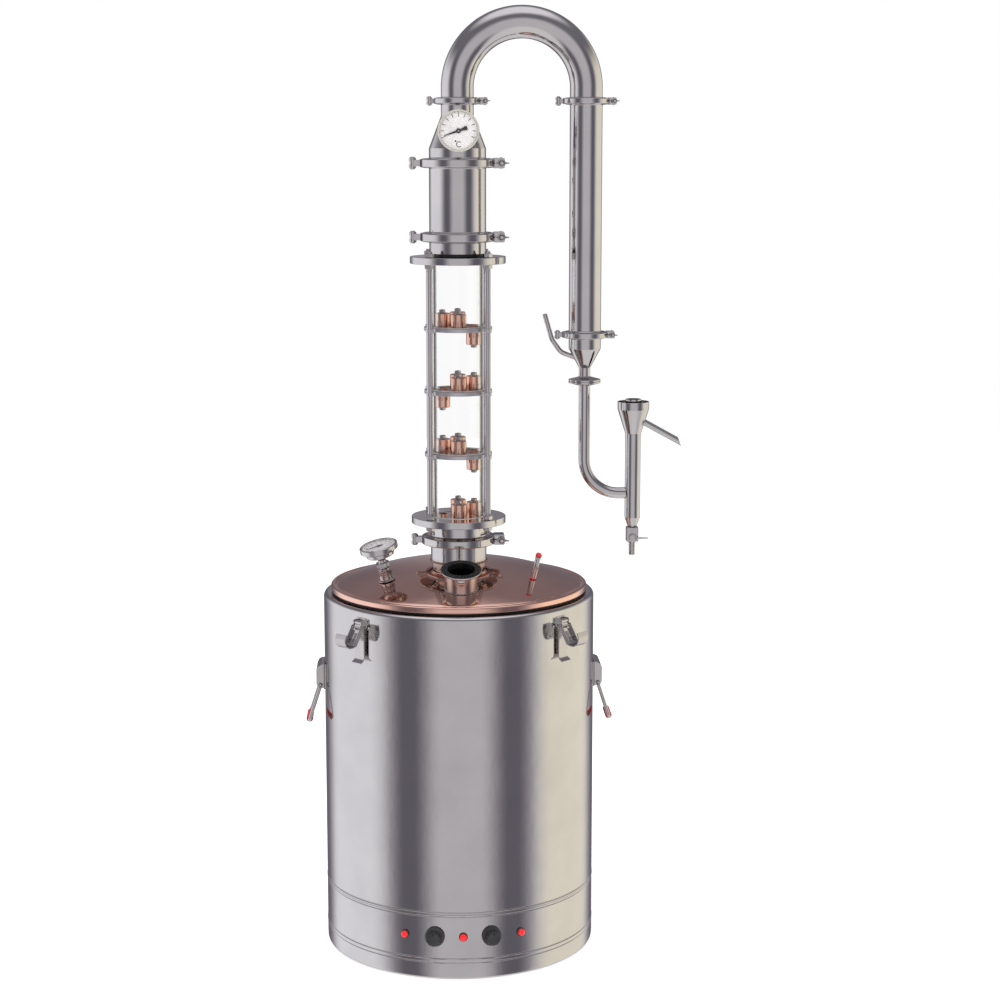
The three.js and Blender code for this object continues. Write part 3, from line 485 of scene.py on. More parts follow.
def clear_glass(name, painted_edge_shade=None, inner_r=0.0):
    """Clear glass as a thin sheet: it mirrors at its edges and lets the rest through. Its edge colour is
    painted shade:
    it darkens the steep sides of a tube's bore, where the glass is looked through lengthways."""
    made, n = material(name)
    drawn = n.noise(60, (1, 1, 0.02), detail=1)
    normal = n.bump(drawn, 0.1, 0.0001)
    tint_and_painted_shade = n.mix(n.spread(drawn, 0.3, 0.7), rgb(255, 255, 255), rgb(253, 253, 253))
    # Painted shade: the bore's steep sides are mixed towards the edge colour.
    if painted_edge_shade:
        facing = n.add("LayerWeight", {"Blend": 0.5}).outputs["Facing"]
        steep = n.spread(facing, 0.46, 0.64, smooth=True)
        place = n.add("SeparateXYZ", {0: n.add("TexCoord").outputs["Object"]}).outputs
        across = n.math("SQRT", n.math("ADD", n.math("POWER", place["X"], 2), n.math("POWER", place["Y"], 2)))
        in_bore = n.math("LESS_THAN", across, inner_r * MM)
        tint_and_painted_shade = n.mix(n.math("MULTIPLY", steep, in_bore), tint_and_painted_shade, painted_edge_shade)
    clear = n.add("BsdfTransparent", {"Color": tint_and_painted_shade}).outputs[0]
    polish = n.spread(drawn, 0.2, 0.8, 0.01, 0.04)
    mirror = n.add("BsdfGlossy", {"Color": (0.95, 0.96, 0.96, 1), "Roughness": polish,
                                  "Normal": normal}).outputs[0]
    edge = n.math("MULTIPLY", n.add("Fresnel", {"IOR": 1.2, "Normal": normal}).outputs[0], 0.45)
    n.finish(n.add("MixShader", {0: edge, 1: clear, 2: mirror}).outputs[0])
    return made


STEEL = metal("polished_steel", (0.64, 0.625, 0.615, 1), (0.58, 0.565, 0.56, 1), 0.055)
DRAWN = metal("drawn_steel", (0.63, 0.61, 0.60, 1), (0.56, 0.54, 0.53, 1), 0.16, lines=(1, 1, 40))
SATIN = metal("satin_steel", (0.58, 0.56, 0.55, 1), (0.50, 0.48, 0.47, 1), 0.30, lines=(40, 40, 2),
              line_depth=0.00005)
COPPER = metal("lid_copper", (0.94, 0.60, 0.49, 1), (0.86, 0.52, 0.42, 1), 0.07, lines=(1, 1, 12))
CAP_COPPER = metal("cap_copper", (0.95, 0.59, 0.45, 1), (0.84, 0.48, 0.36, 1), 0.16, lines=(1, 1, 30))
WELD = metal("weld_bead", (0.55, 0.53, 0.51, 1), (0.36, 0.32, 0.29, 1), 0.32, lines=(30, 30, 30),
             line_depth=0.0002)
BLACK = plastic("black_plastic", (0.018, 0.018, 0.02, 1), (0.032, 0.032, 0.034, 1), 0.36)
SEAL = plastic("black_seal", (0.004, 0.004, 0.004, 1), (0.009, 0.009, 0.009, 1), 0.42)
SILICONE = plastic("red_silicone", (0.50, 0.018, 0.03, 1), (0.36, 0.010, 0.018, 1), 0.42, sheen=0.2)
LENS = plastic("red_lens", (0.95, 0.015, 0.02, 1), (0.78, 0.010, 0.014, 1), 0.16, grain=300, glow=0.55)
ENAMEL = plastic("dial_enamel", rgb(218, 214, 213), rgb(208, 204, 203), 0.4, grain=500, depth=0.00002)
INK = plastic("dial_ink", (0.02, 0.02, 0.022, 1), (0.035, 0.035, 0.04, 1), 0.45)
PALE_SEAL = plastic("pale_seal", (0.62, 0.61, 0.60, 1), (0.52, 0.51, 0.50, 1), 0.5)
IVORY = plastic("dial_bezel", rgb(170, 166, 156), rgb(158, 154, 144), 0.35, grain=400, depth=0.00002)
SATIN_LIGHT = metal("satin_plate", (0.70, 0.68, 0.70, 1), (0.62, 0.60, 0.62, 1), 0.34, lines=(1, 1, 30))
# The grey is painted shade for the bore's steep sides, where the glass is seen edge-on.
GLASS = clear_glass("clear_glass", rgb(152, 146, 142), (GLASS_R + GLASS_BORE_R) / 2)
PANE = clear_glass("dial_glass")


# ---------------------------------------------------------------- pieces

def piece(name, solid, body, finish, stands_for=(), bevel=0.0, sharp=38, steps=2):
    """Makes a solid into an object that rides on a body. bevel rounds its hard edges."""
    mesh = bpy.data.meshes.new(name)
    mesh.from_pydata([point * MM for point in solid.points], [], solid.faces)
    work = bmesh.new()
    work.from_mesh(mesh)
    bmesh.ops.remove_doubles(work, verts=work.verts, dist=0.00001)
    bmesh.ops.dissolve_degenerate(work, edges=work.edges, dist=0.000005)
    bmesh.ops.recalc_face_normals(work, faces=work.faces)
    if bevel:
        limit = math.radians(40)
        edges = [e for e in work.edges if len(e.link_faces) == 2 and e.calc_face_angle() > limit]
        bmesh.ops.bevel(work, geom=edges, offset=bevel * MM, segments=steps, profile=0.5,
                        affect="EDGES", clamp_overlap=True)
    work.to_mesh(mesh)
    work.free()
    for face in mesh.polygons:
        face.use_smooth = True
    mesh.set_sharp_from_angle(angle=math.radians(sharp))
    mesh.materials.append(finish)
    made = bpy.data.objects.new(name, mesh)
    bpy.context.scene.collection.objects.link(made)
    weighted = made.modifiers.new("even_shading", "WEIGHTED_NORMAL")
    weighted.keep_sharp = True
    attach(made, body)
    if stands_for:
        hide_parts(*stands_for)
    return made


def wall(azimuth):
    """Places (outwards, height, sideways) on the boiler's wall at an azimuth."""
    basis = Matrix(((0, 0, -1, 0), (-1, 0, 0, 0), (0, 1, 0, 0), (0, 0, 0, 1)))
    return turn(azimuth, "Z") @ shift(y=-BOILER_R) @ basis


def facing(azimuth, radius, z):
    """Places a solid that stands on +Z so that it points outwards at an azimuth."""
    return turn(azimuth, "Z") @ shift(y=-radius, z=z) @ turn(90, "X")


def fitting(azimuth):
    """Places a solid square to the dome where the lid's fittings stand."""
    return turn(azimuth, "Z") @ shift(y=-FITTING_RADIUS, z=FITTING_Z) @ turn(FITTING_TILT, "X")


def bead(radius, z, size=1.6, sides=128):
    """A rippled weld bead round the Z axis."""
    rings = []
    for i in range(sides):
        angle = 2 * math.pi * i / sides
        swell = size * (1 + 0.1 * math.cos(i * math.pi / 2))
        ring = []
        for k in range(10):
            spin = 2 * math.pi * k / 10
            r = radius + swell * math.cos(spin)
            ring.append((r * math.cos(angle), r * math.sin(angle), z + swell * 0.7 * math.sin(spin)))
        rings.append(ring)
    return skin(rings, closed_run=True)


# ---------------------------------------------------------------- boiler

def double_groove(z):
    """Going up the wall: a groove, a raised band and a groove."""
    return [(BOILER_R, z - 4.6, 0.8), (BOILER_R - 1.3, z - 3.4, 0.6), (BOILER_R + 0.4, z - 2.2, 1.0),
            (BOILER_R + 0.4, z + 2.2, 1.0), (BOILER_R - 1.3, z + 3.4, 0.6), (BOILER_R, z + 4.6, 0.8)]


def build_boiler():
    upper = double_groove(PAN_TOP)[3:]
    shoulder_z = LIP_Z - SHOULDER_R
    inner = BOILER_R - WALL
    profile = [
        (0, PAN_TOP + 0.15), (BOILER_R + 0.4, PAN_TOP + 0.15, 0.3), *upper,
        (BOILER_R, shoulder_z - 8), (BOILER_R, LIP_Z + 1.4, SHOULDER_R), (LID_R - 2, LIP_Z + 1.4, 3),
        (LID_R - 4, LIP_Z, 3), (LIP_BORE_R, LIP_Z, 1.2), (LIP_BORE_R, LIP_Z - 8, 0.5),
        (LIP_BORE_R + 2, LIP_Z - 8, 0.5), (LIP_BORE_R + 2, LIP_Z - WALL, 1),
        (inner, LIP_Z - WALL, SHOULDER_R - WALL), (inner, PAN_TOP + WALL, 4), (0, PAN_TOP + WALL),
    ]
    piece("boiler_vessel_shell", lathe(profile, 256), "boiler", STEEL, ["boiler_vessel"])

    pan_inner = BOILER_R - 3
    pan = [(0, 0), (BOILER_R - 0.5, 0, 3), (BOILER_R, 8), *double_groove(GROOVE_HEIGHTS["pan"]),
           *double_groove(PAN_TOP)[:3], (BOILER_R + 0.4, PAN_TOP - 0.15, 0.3), (pan_inner, PAN_TOP - 0.15),
           (pan_inner, 3), (0, 3)]
    piece("base_pan_skirt", lathe(pan, 256), "boiler", STEEL, ["base_pan"])
    build_heater()
    build_brackets()


def build_heater():
    ring_r = 115
    tube_r = 6
    z = PAN_TOP - tube_r - 0.3
    path = [(ring_r * math.cos(a), ring_r * math.sin(a), z)
            for a in [math.radians(8 + 344 * i / 90) for i in range(91)]]
    ends = []
    for side in (1, -1):
        angle = math.radians(8 * side)
        x, y = ring_r * math.cos(angle), ring_r * math.sin(angle)
        ends.append(rod(3, -22, 0, 0.6).placed(shift(x, y, z)))
        ends.append(nut(5.5, 4, 2.8).placed(shift(x, y, z - 16)))
    piece("heating_element_ring", joined([pipe(path, tube_r, sides=20)] + ends), "boiler",
          SATIN, ["heating_element"], sharp=50)


def build_brackets():
    for corner, azimuth in LATCHES.items():
        out, height = LEVER_PIVOT
        ear = [(-1, height - 5), (out, height - 4.5, 1), (out + 4.5, height - 4.5, 4.4),
               (out + 4.5, height + 4.5, 4.4), (-1, height + 4.5, 0.5)]
        plate = [(-0.6, height - 9), (1.4, height - 9, 0.6), (1.4, height + 7, 0.6), (-0.6, height + 7)]
        parts = [prism(ear, 7, 9), prism(ear, -9, -7), prism(plate, -9.6, 9.6)]
        for side in (-1, 1):
            head = rod(RIVET_R, 0, 1.1, 0.7, 24)
            parts.append(head.placed(shift(out, height, 9 * side), turn(0 if side > 0 else 180, "X")))
        parts.append(rod(1.5, -9, 9, 0.2, 20).placed(shift(out, height, 0)))
        solid = joined(parts).placed(wall(azimuth))
        piece(f"latch_bracket_{corner}", solid, "boiler", DRAWN, bevel=0.25)
    for side, azimuth in (("left", -90), ("right", 90)):
        at = pivot(f"carry_handle_{side}_swing")
        out, height = abs(at.x) - BOILER_R, at.z
        half = BRACKET_HALF
        outline = [(-5, height - 6), (10, height - 6, 2), (13, height + 1, 4), (13, height + 24, 4),
                   (10, height + 30.5, 4), (5, height + 33, 3), (-5, height + 33)]
        hole = disc(out, height, 3.2, 20)
        block = prism(outline, -half, half)
        made = piece(f"handle_bracket_{side}", block.placed(wall(azimuth)), "boiler", DRAWN,
                     bevel=1.0, steps=3)
        bore(made, prism(hole, -50, 50).placed(wall(azimuth)))
        low, high = height - 6.6, height + 33.6
        edge = half + 0.6
        around = ((-edge, low), (edge, low), (edge, high), (-edge, high), (-edge, low))
        frame_line = [(0.2, z, x) for x, z in around]
        weld = pipe(bent(frame_line, 2, 30), 1.0, sides=10)
        piece(f"handle_bracket_weld_{side}", weld.placed(wall(azimuth)), "boiler", WELD)


def bore(made, cutter):
    """Cuts a solid out of a piece."""
    mesh = bpy.data.meshes.new("cutter")
    mesh.from_pydata([point * MM for point in cutter.points], [], cutter.faces)
    work = bmesh.new()
    work.from_mesh(mesh)
    bmesh.ops.recalc_face_normals(work, faces=work.faces)
    work.to_mesh(mesh)
    work.free()
    tool = bpy.data.objects.new("cutter", mesh)
    bpy.context.scene.collection.objects.link(tool)
    difference = made.modifiers.new("bore", "BOOLEAN")
    difference.operation = "DIFFERENCE"
    difference.solver = "EXACT"
    difference.object = tool
    made.modifiers.move(len(made.modifiers) - 1, 0)
    bpy.context.view_layer.update()
    evaluated = made.evaluated_get(bpy.context.evaluated_depsgraph_get())
    result = bpy.data.meshes.new_from_object(evaluated)
    made.modifiers.remove(difference)
    old = made.data
    made.data = result
    bpy.data.meshes.remove(old)
    bpy.data.objects.remove(tool)
    made.data.set_sharp_from_angle(angle=math.radians(38))


def fluted(radius, low, high, flutes=12, depth=0.9, taper=0.8):
    """A grip with shallow flutes, a little narrower at its top, which is domed."""
    rings = []
    count = flutes * 8
    rows = [(low, 1.0), (low + 0.6, 1.0), (high - 1.6, taper + 0.02), (high - 0.5, taper - 0.03),
            (high, taper - 0.12), (high + 0.3, 0.35), (high + 0.35, 0.0001)]
    for z, share in rows:
        ring = []
        for k in range(count):
            angle = 2 * math.pi * k / count
            scallop = depth * max(0.0, math.cos(flutes * angle)) ** 2
            size = (radius - scallop) * share
            ring.append((size * math.cos(angle), size * math.sin(angle), z))
        rings.append(ring)
    return skin(rings)


def build_controls():
    for side in ("left", "right"):
        at = pivot(f"power_knob_{side}_turn")
        azimuth = math.degrees(math.atan2(at.x, -at.y))
        place = facing(azimuth, BOILER_R + 0.3, at.z)
        skirt = lathe([(0, 0), (15.5, 0, 0.5), (15.5, 3.6, 1.4), (12.6, 5.4, 1), (12.2, 7), (0, 7)], 72)
        grip = fluted(11.6, 5, 17, flutes=10, depth=0.9, taper=0.92)
        mark = prism([(-0.8, 6, 0.5), (0.8, 6, 0.5), (0.8, 10.4, 0.5), (-0.8, 10.4, 0.5)], 16.6, 17.6)
        piece(f"power_knob_{side}_cap", (skirt + grip).placed(place), f"power_knob_{side}",
              BLACK, [f"power_knob_{side}"])
        piece(f"power_knob_{side}_mark", mark.placed(place), f"power_knob_{side}", SEAL)
    for name, azimuth in (("left", -LAMP_AZIMUTH), ("center", 0), ("right", LAMP_AZIMUTH)):
        place = facing(azimuth, BOILER_R + 0.1, LAMP_HEIGHT)
        bezel = lathe([(0, 0), (6.8, 0, 0.4), (6.8, 2.2, 1), (6.0, 3.0, 0.6), (5.4, 3.0, 0.3), (5.3, 1.6),
                       (0, 1.6)], 48)
        lens = lathe([(0, 1.2), (5.1, 1.2), (5.1, 4.6, 1.8), (2.6, 6.2, 3), (0, 6.5)], 48)
        piece(f"pilot_lamp_{name}_bezel", bezel.placed(place), "boiler", BLACK,
              [f"pilot_lamp_{name}"])
        piece(f"pilot_lamp_{name}_lens", lens.placed(place), "boiler", LENS)


def build_handles():
    for side, azimuth in (("left", -90), ("right", 90)):
        at = pivot(f"carry_handle_{side}_swing")
        reach = abs(at.x)
        place = turn(azimuth, "Z") @ shift(y=-reach, z=at.z) @ turn(-HANDLE_REST, "X")
        start, half, drop, wire_r = BRACKET_HALF - 8, HANDLE_HALF, 60, 2.8
        corners = [(start, 0, 0), (half, 0, 0), (half, 0, -drop), (-half, 0, -drop), (-half, 0, 0),
                   (-start, 0, 0)]
        wire = pipe(bent(corners, HANDLE_BEND_R, 9), wire_r, sides=20)
        grip_half = half - 11
        grip = [(wire_r - 0.1, -grip_half), (4.6, -grip_half, 0.5), (5.5, -grip_half + 1.5, 0.6),
                (5.5, -grip_half + 3.5, 0.5), (4.9, -grip_half + 5, 0.8)]
        ridges = 5
        for i in range(ridges):
            z = (i - (ridges - 1) / 2) * 6
            grip += [(4.9, z - 2, 0.5), (5.4, z - 0.8, 0.6), (5.4, z + 0.8, 0.6), (4.9, z + 2, 0.5)]
        grip += [(4.9, grip_half - 5, 0.8), (5.5, grip_half - 3.5, 0.5), (5.5, grip_half - 1.5, 0.6),
                 (4.6, grip_half, 0.5), (wire_r - 0.1, grip_half)]
        sleeve = lathe(grip, 40).placed(shift(z=-drop), turn(90, "Y"))
        piece(f"carry_handle_{side}_wire", wire.placed(place), f"carry_handle_{side}",
              DRAWN, [f"carry_handle_{side}"])
        piece(f"carry_handle_{side}_grip", sleeve.placed(place), f"carry_handle_{side}",
              SILICONE)


# ---------------------------------------------------------------- latches

def build_latches():
    for corner, azimuth in LATCHES.items():
        place = wall(azimuth)
        neck = strip([LEVER_PIVOT, (7.6, 550.5), CLAW_PIVOT, (6.2, 540), (5.2, 534)], 2.2, 4)
        strap = strip([(6.2, 541), (5.3, 534), (4.9, 500), (6.3, 495.4), (12.6, 491.6)], 1.8, 5)
        eye = lathe([(1.8, -6.4, 0.3), (3.6, -6.4, 0.6), (3.6, 6.4, 0.6), (1.8, 6.4, 0.3)], 24)
        lever = prism(neck, -6.4, 6.4) + prism(strap, -10, 10) + eye.placed(shift(*LEVER_PIVOT))
        piece(f"latch_lever_{corner}_strap", lever.placed(place), f"latch_lever_{corner}",
              DRAWN, [f"latch_lever_{corner}"], bevel=0.35)
        pin = rod(1.5, -11.4, 11.4, 0.2, 20)
        heads = [rod(2.7, 0, 1.0, 0.7, 24).placed(shift(z=11.2)),
                 rod(2.7, 0, 1.0, 0.7, 24).placed(shift(z=-11.2), turn(180, "X"))]
        piece(f"latch_lever_{corner}_pin", joined([pin] + heads).placed(place, shift(*CLAW_PIVOT)),
              f"latch_lever_{corner}", SATIN)
        way = Vector((24, 523)) - Vector(CLAW_PIVOT)
        side = Vector((-way.y, way.x)).normalized() * 3.2
        tip = Vector((24, 523)) + way.normalized() * 2
        back = Vector(CLAW_PIVOT) - way.normalized() * 3.3
        arm = [(*(back - side), 3), (*(tip - side), 2), (*(tip + side), 2), (*(back + side), 3)]
        nose = strip([(20.5, 525), (26, 520.3), (36, 520), (43.5, 524.5), (46, 533), (42.5, 541.5)], 1.8, 6)
        claw = prism(arm, 9.4, 11.1) + prism(arm, -11.1, -9.4) + prism(nose, -11.2, 11.2)
        web_side = -side.normalized() * 2.2
        for low, high, start, end in ((-9.5, -4.2, 0.16, 0.9), (-2.6, 2.6, 0.3, 0.9), (4.2, 9.5, 0.16, 0.9),
                                      (-9.5, 9.5, 0.66, 0.98)):
            first = Vector(CLAW_PIVOT) + way * start + web_side
            last = Vector(CLAW_PIVOT) + way * end + web_side
            claw = claw + prism(strip([tuple(first), tuple(last)], 1.4), low, high)
        piece(f"latch_claw_{corner}_hook", claw.placed(place), f"latch_claw_{corner}",
              DRAWN, [f"latch_claw_{corner}"], bevel=0.35)


# ---------------------------------------------------------------- lid

def dome_z(radius, sheet=0.0):
    return DOME_CENTRE_Z + math.sqrt((DOME_R - sheet) ** 2 - radius ** 2)


def build_lid():
    face_low, face_high = LID_UNDER + 2.2, LID_UNDER + 11.6
    rim_r = LID_R - 0.2
    bead = [(LID_R - 7, LID_UNDER + 0.4, 0.8), (rim_r, face_low - 0.6, 2.6), (rim_r, face_high, 3.4),
            (LID_R - 7, face_high + 0.2, 2.8), (LID_R - 9.5, face_high - 2.6, 1.6)]
    edge = LID_R - 12.5
    radii = [edge - k * (edge - COLLAR_BORE_R) / 40 for k in range(41)]
    outside = [(r, dome_z(r)) for r in radii]
    inside = [(r, dome_z(r, WALL)) for r in reversed(radii)]
    profile = [(190.5, LID_UNDER + 0.4), *bead, *outside, *inside, (190.5, dome_z(edge) - 5)]
    shell = piece("lid_dome_shell", lathe(profile, 256), "lid", COPPER, ["lid_dome"], sharp=35)
    for azimuth, radius in ((FILLER_AZIMUTH, SMALL["r"] + 0.1), (LID_DIAL_AZIMUTH, 5), (RELIEF_AZIMUTH, 5)):
        cutter = lathe([(0, -15), (radius, -15), (radius, 15), (0, 15)], 64)
        bore(shell, cutter.placed(fitting(azimuth)))
    gasket = hollow(LID_R - 5, 190, LIP_Z + 0.02, LID_UNDER + 0.3, 0.8, 192)
    piece("lid_gasket_ring", gasket, "lid", SEAL, ["lid_gasket"])


def ferrule_profile(size, bottom, top, has_bottom, has_top):
    """The closed outline of a tube between two heights, with a ferrule at either end that has one."""
    r, wide, lip, taper = size["r"], size["ferrule"], size["lip"], size["taper"]
    tube_bore = r - size["wall"]
    outline = [(tube_bore, bottom, 0.4)]
    if has_bottom:
        outline += [(wide, bottom, 0.5), (wide, bottom + lip, 0.5), (r, bottom + taper, 2.5)]
    else:
        outline += [(r, bottom, 0.4)]
    if has_top:
        outline += [(r, top - taper, 2.5), (wide, top - lip, 0.5), (wide, top, 0.5)]
    else:
        outline += [(r, top, 0.4)]
    return outline + [(tube_bore, top, 0.4)]


def build_lid_fittings():
    low, high = extent("lid_collar")
    collar = lathe(ferrule_profile(LARGE, low.z + 8, high.z, False, True), 128)
    piece("lid_collar_tube", collar, "lid", STEEL, ["lid_collar"])
    piece("lid_collar_weld", bead(LARGE["r"] + 0.6, dome_z(LARGE["r"]) + 0.6, 1.3), "lid",
          WELD)

    place = fitting(FILLER_AZIMUTH)
    top = FILLER_TOP
    neck = lathe(ferrule_profile(SMALL, -4, top, False, True), 96)
    piece("filler_neck_tube", neck.placed(place), "lid", STEEL, ["filler_neck"])
    piece("filler_neck_weld", bead(SMALL["r"] + 0.4, 0.3, 0.8).placed(place), "lid", WELD)
    bore_r = SMALL["r"] - SMALL["wall"]
    # A flat black gasket on the ferrule, and a black sleeve 9 mm down the bore that is painted shade: it
    # darkens the neck's inside.
    gasket_and_shade_sleeve = lathe([(bore_r - 2.4, top - 9, 0.5), (bore_r - 0.1, top - 9), (bore_r - 0.1, top),
                  (bore_r + 0.6, top + 0.05), (30.6, top + 0.05, 0.5), (30.6, top + 1.1, 0.6),
                  (bore_r - 2.4, top + 1.1, 0.8)], 96)
    piece("filler_neck_gasket_and_shade_sleeve", gasket_and_shade_sleeve.placed(place), "lid", SEAL)

    place = fitting(LID_DIAL_AZIMUTH)
    stem = lathe([(0, -55), (3.4, -55, 2.5), (4, -50), (4, 1.6), (13.5, 1.2, 0.4), (13.5, 2.4, 0.5),
                  (10, 3.2, 0.6), (10, 8, 0.8), (8.8, 9, 0.5), (8.8, 11), (0, 11)], 64)
    lower_hex = nut(12.4, 7.4).placed(shift(z=10.6))
    upper = lathe([(0, 18), (9.2, 18), (9.2, 21, 0.5), (6.6, 22, 0.5), (6.6, 26), (6.2, 34), (6.6, 36, 1),
                   (12, 41.4, 1.2), (22, 42.3, 1.2), (22, 49.9, 0.8), (28.6, 50.9, 0.8),
                   (30, 51.9, 0.8), (30, 59.4, 0.9),
                   (28.8, 60.2, 0.5), (27, 60.2, 0.4), (27, 56.9), (0, 56.9)], 96)
    upper_hex = nut(11.6, 7).placed(shift(z=24))
    case = (stem + lower_hex + upper + upper_hex).placed(place)
    piece("lid_thermometer_case", case, "lid", STEEL, ["lid_thermometer"])
    piece("lid_thermometer_face", rod(26.8, 57.0, 57.5, 0.1, 72).placed(place), "lid", ENAMEL)
    marks, needle = dial_marks(24.5, 57.55, 11, 226, 203)
    piece("lid_thermometer_marks", (marks + needle).placed(place, turn(90, "Z")), "lid", INK)
    piece("lid_thermometer_glass", rod(26.9, 59.3, 59.8, 0.1, 72).placed(place), "lid", PANE)

    place = fitting(RELIEF_AZIMUTH)
    top = RELIEF_TOP
    tube = lathe([(2.4, -5, 0.2), (4.5, -5, 0.4), (4.5, top, 0.5), (2.4, top, 0.3)], 40)
    made = piece("relief_tube_body", tube.placed(place), "lid", STEEL, ["relief_tube"])
    bore(made, rod(1.7, 0, 12, 0.01, 24).placed(place, shift(z=20), turn(120, "Z"), turn(90, "X")))
    ring = lathe([(4.5, 0.3, 0.3), (5.5, 0.3, 0.5), (5.5, 1.8, 0.5), (4.5, 2, 0.3)], 40)
    piece("relief_tube_seal", ring.placed(place), "lid", SILICONE)
    cap = lathe([(0, top - 10), (2.1, top - 10, 0.5), (2.1, top + 0.3), (5, top + 0.3, 0.5),
                 (5.2, top + 4, 1),
                 (3.2, top + 6.5, 1.6), (0, top + 7)], 40)
    piece("relief_plug_cap", cap.placed(place), "relief_plug", SILICONE, ["relief_plug"])


def dial_marks(radius, z, count, sweep, start):
    """Scale marks and a needle for a dial that faces +Z; angles count anticlockwise from +X."""
    marks = []
    for i in range(count):
        angle = start - sweep * i / (count - 1)
        inner, outer = radius * 0.74, radius * 0.94
        bar = prism([(inner, -0.45), (outer, -0.5), (outer, 0.5), (inner, 0.45)], z, z + 0.15)
        marks.append(bar.placed(turn(angle, "Z")))
    pointer = prism([(-7, -2.2, 1), (0, -1.1), (radius * 0.82, -0.2), (radius * 0.82, 0.2), (0, 1.1),
                     (-7, 2.2, 1)], z + 0.5, z + 1.1)
    hub = rod(2.6, z, z + 1.4, 0.4, 32)
    return joined(marks), (pointer + hub).placed(turn(start - 40, "Z"))


# ---------------------------------------------------------------- glass column

def tooled_cap(x, y, deck, hanging=False):
    """Copper bell and its nut; a hanging one is a downcomer cup under the plate."""
    place = shift(x, y, deck) @ (FLIP if hanging else Matrix.Identity(4)) @ turn(11, "Z")
    radius = 12 if hanging else CAP_R
    bell = slotted_bell(radius, CAP_H if not hanging else 22.6, slot_height=10.5, slots=10)
    bell = bell + hollow(7.6, 6.6, 0.05, CAP_H - 5, 0.3, 40)
    stud = threaded(2.4, CAP_H - 3, CAP_H + 5.6, 0.8, 0.3, 16)
    top = nut(5.2, 4.2, 2.2).placed(shift(z=CAP_H + 0.9)) + stud
    washer = hollow(6.2, 2.4, CAP_H + 0.05, CAP_H + 0.9, 0.2, 32)
    return bell.placed(place), (top + washer).placed(place)


def ring_place(angle):
    return CAP_CIRCLE_R * math.cos(math.radians(angle)), CAP_CIRCLE_R * math.sin(math.radians(angle))


def build_caps(name, angles, deck, body="lid"):
    pairs = [tooled_cap(*ring_place(angle), deck) for angle in angles]
    piece(f"{name}_caps", joined([bell for bell, _ in pairs]), body, CAP_COPPER, sharp=30)
    piece(f"{name}_cap_nuts", joined([top for _, top in pairs]), body, SATIN, sharp=30)


def build_plate(name, caps, downcomer):
    middle = PLATE_HEIGHTS[int(name[-1]) - 1]
    top, under = middle + PLATE_THICK / 2, middle - PLATE_THICK / 2
    x, y = ring_place(downcomer)
    deck = lathe([(0, under), (PLATE_R, under, 0.7), (PLATE_R, top, 0.7), (GLASS_R + 1.4, top, 0.2),
                  (GLASS_R + 1.4, top - 0.6, 0.2), (0, top - 0.6)], 128)
    ears = []
    for across in (-1, 1):
        for along_y in (-1, 1):
            centre = (across * ROD_OFFSET, along_y * ROD_OFFSET)
            ears.append(rod(EAR_R, under, top, 0.6, 40).placed(shift(*centre)))
    made = piece(f"{name}_deck", joined([deck] + ears), "lid", SATIN_LIGHT, [name])
    bore(made, rod(DOWNCOMER_HOLE_R, under - 5, top + 5, 0.01, 40).placed(shift(x, y, 0)))
    build_caps(name, caps, top - 0.6)
    build_downcomer(name, x, y, under, top)


def build_downcomer(name, x, y, under, top):
    cup, tip = tooled_cap(x, y, under, hanging=True)
    pipe_wall = hollow(7.5, 6.4, under - 15, top + 3, 0.4, 40).placed(shift(x, y, 0))
    piece(f"{name}_downcomer", cup + pipe_wall, "lid", CAP_COPPER, sharp=30)
    piece(f"{name}_downcomer_nut", tip, "lid", SATIN, sharp=30)


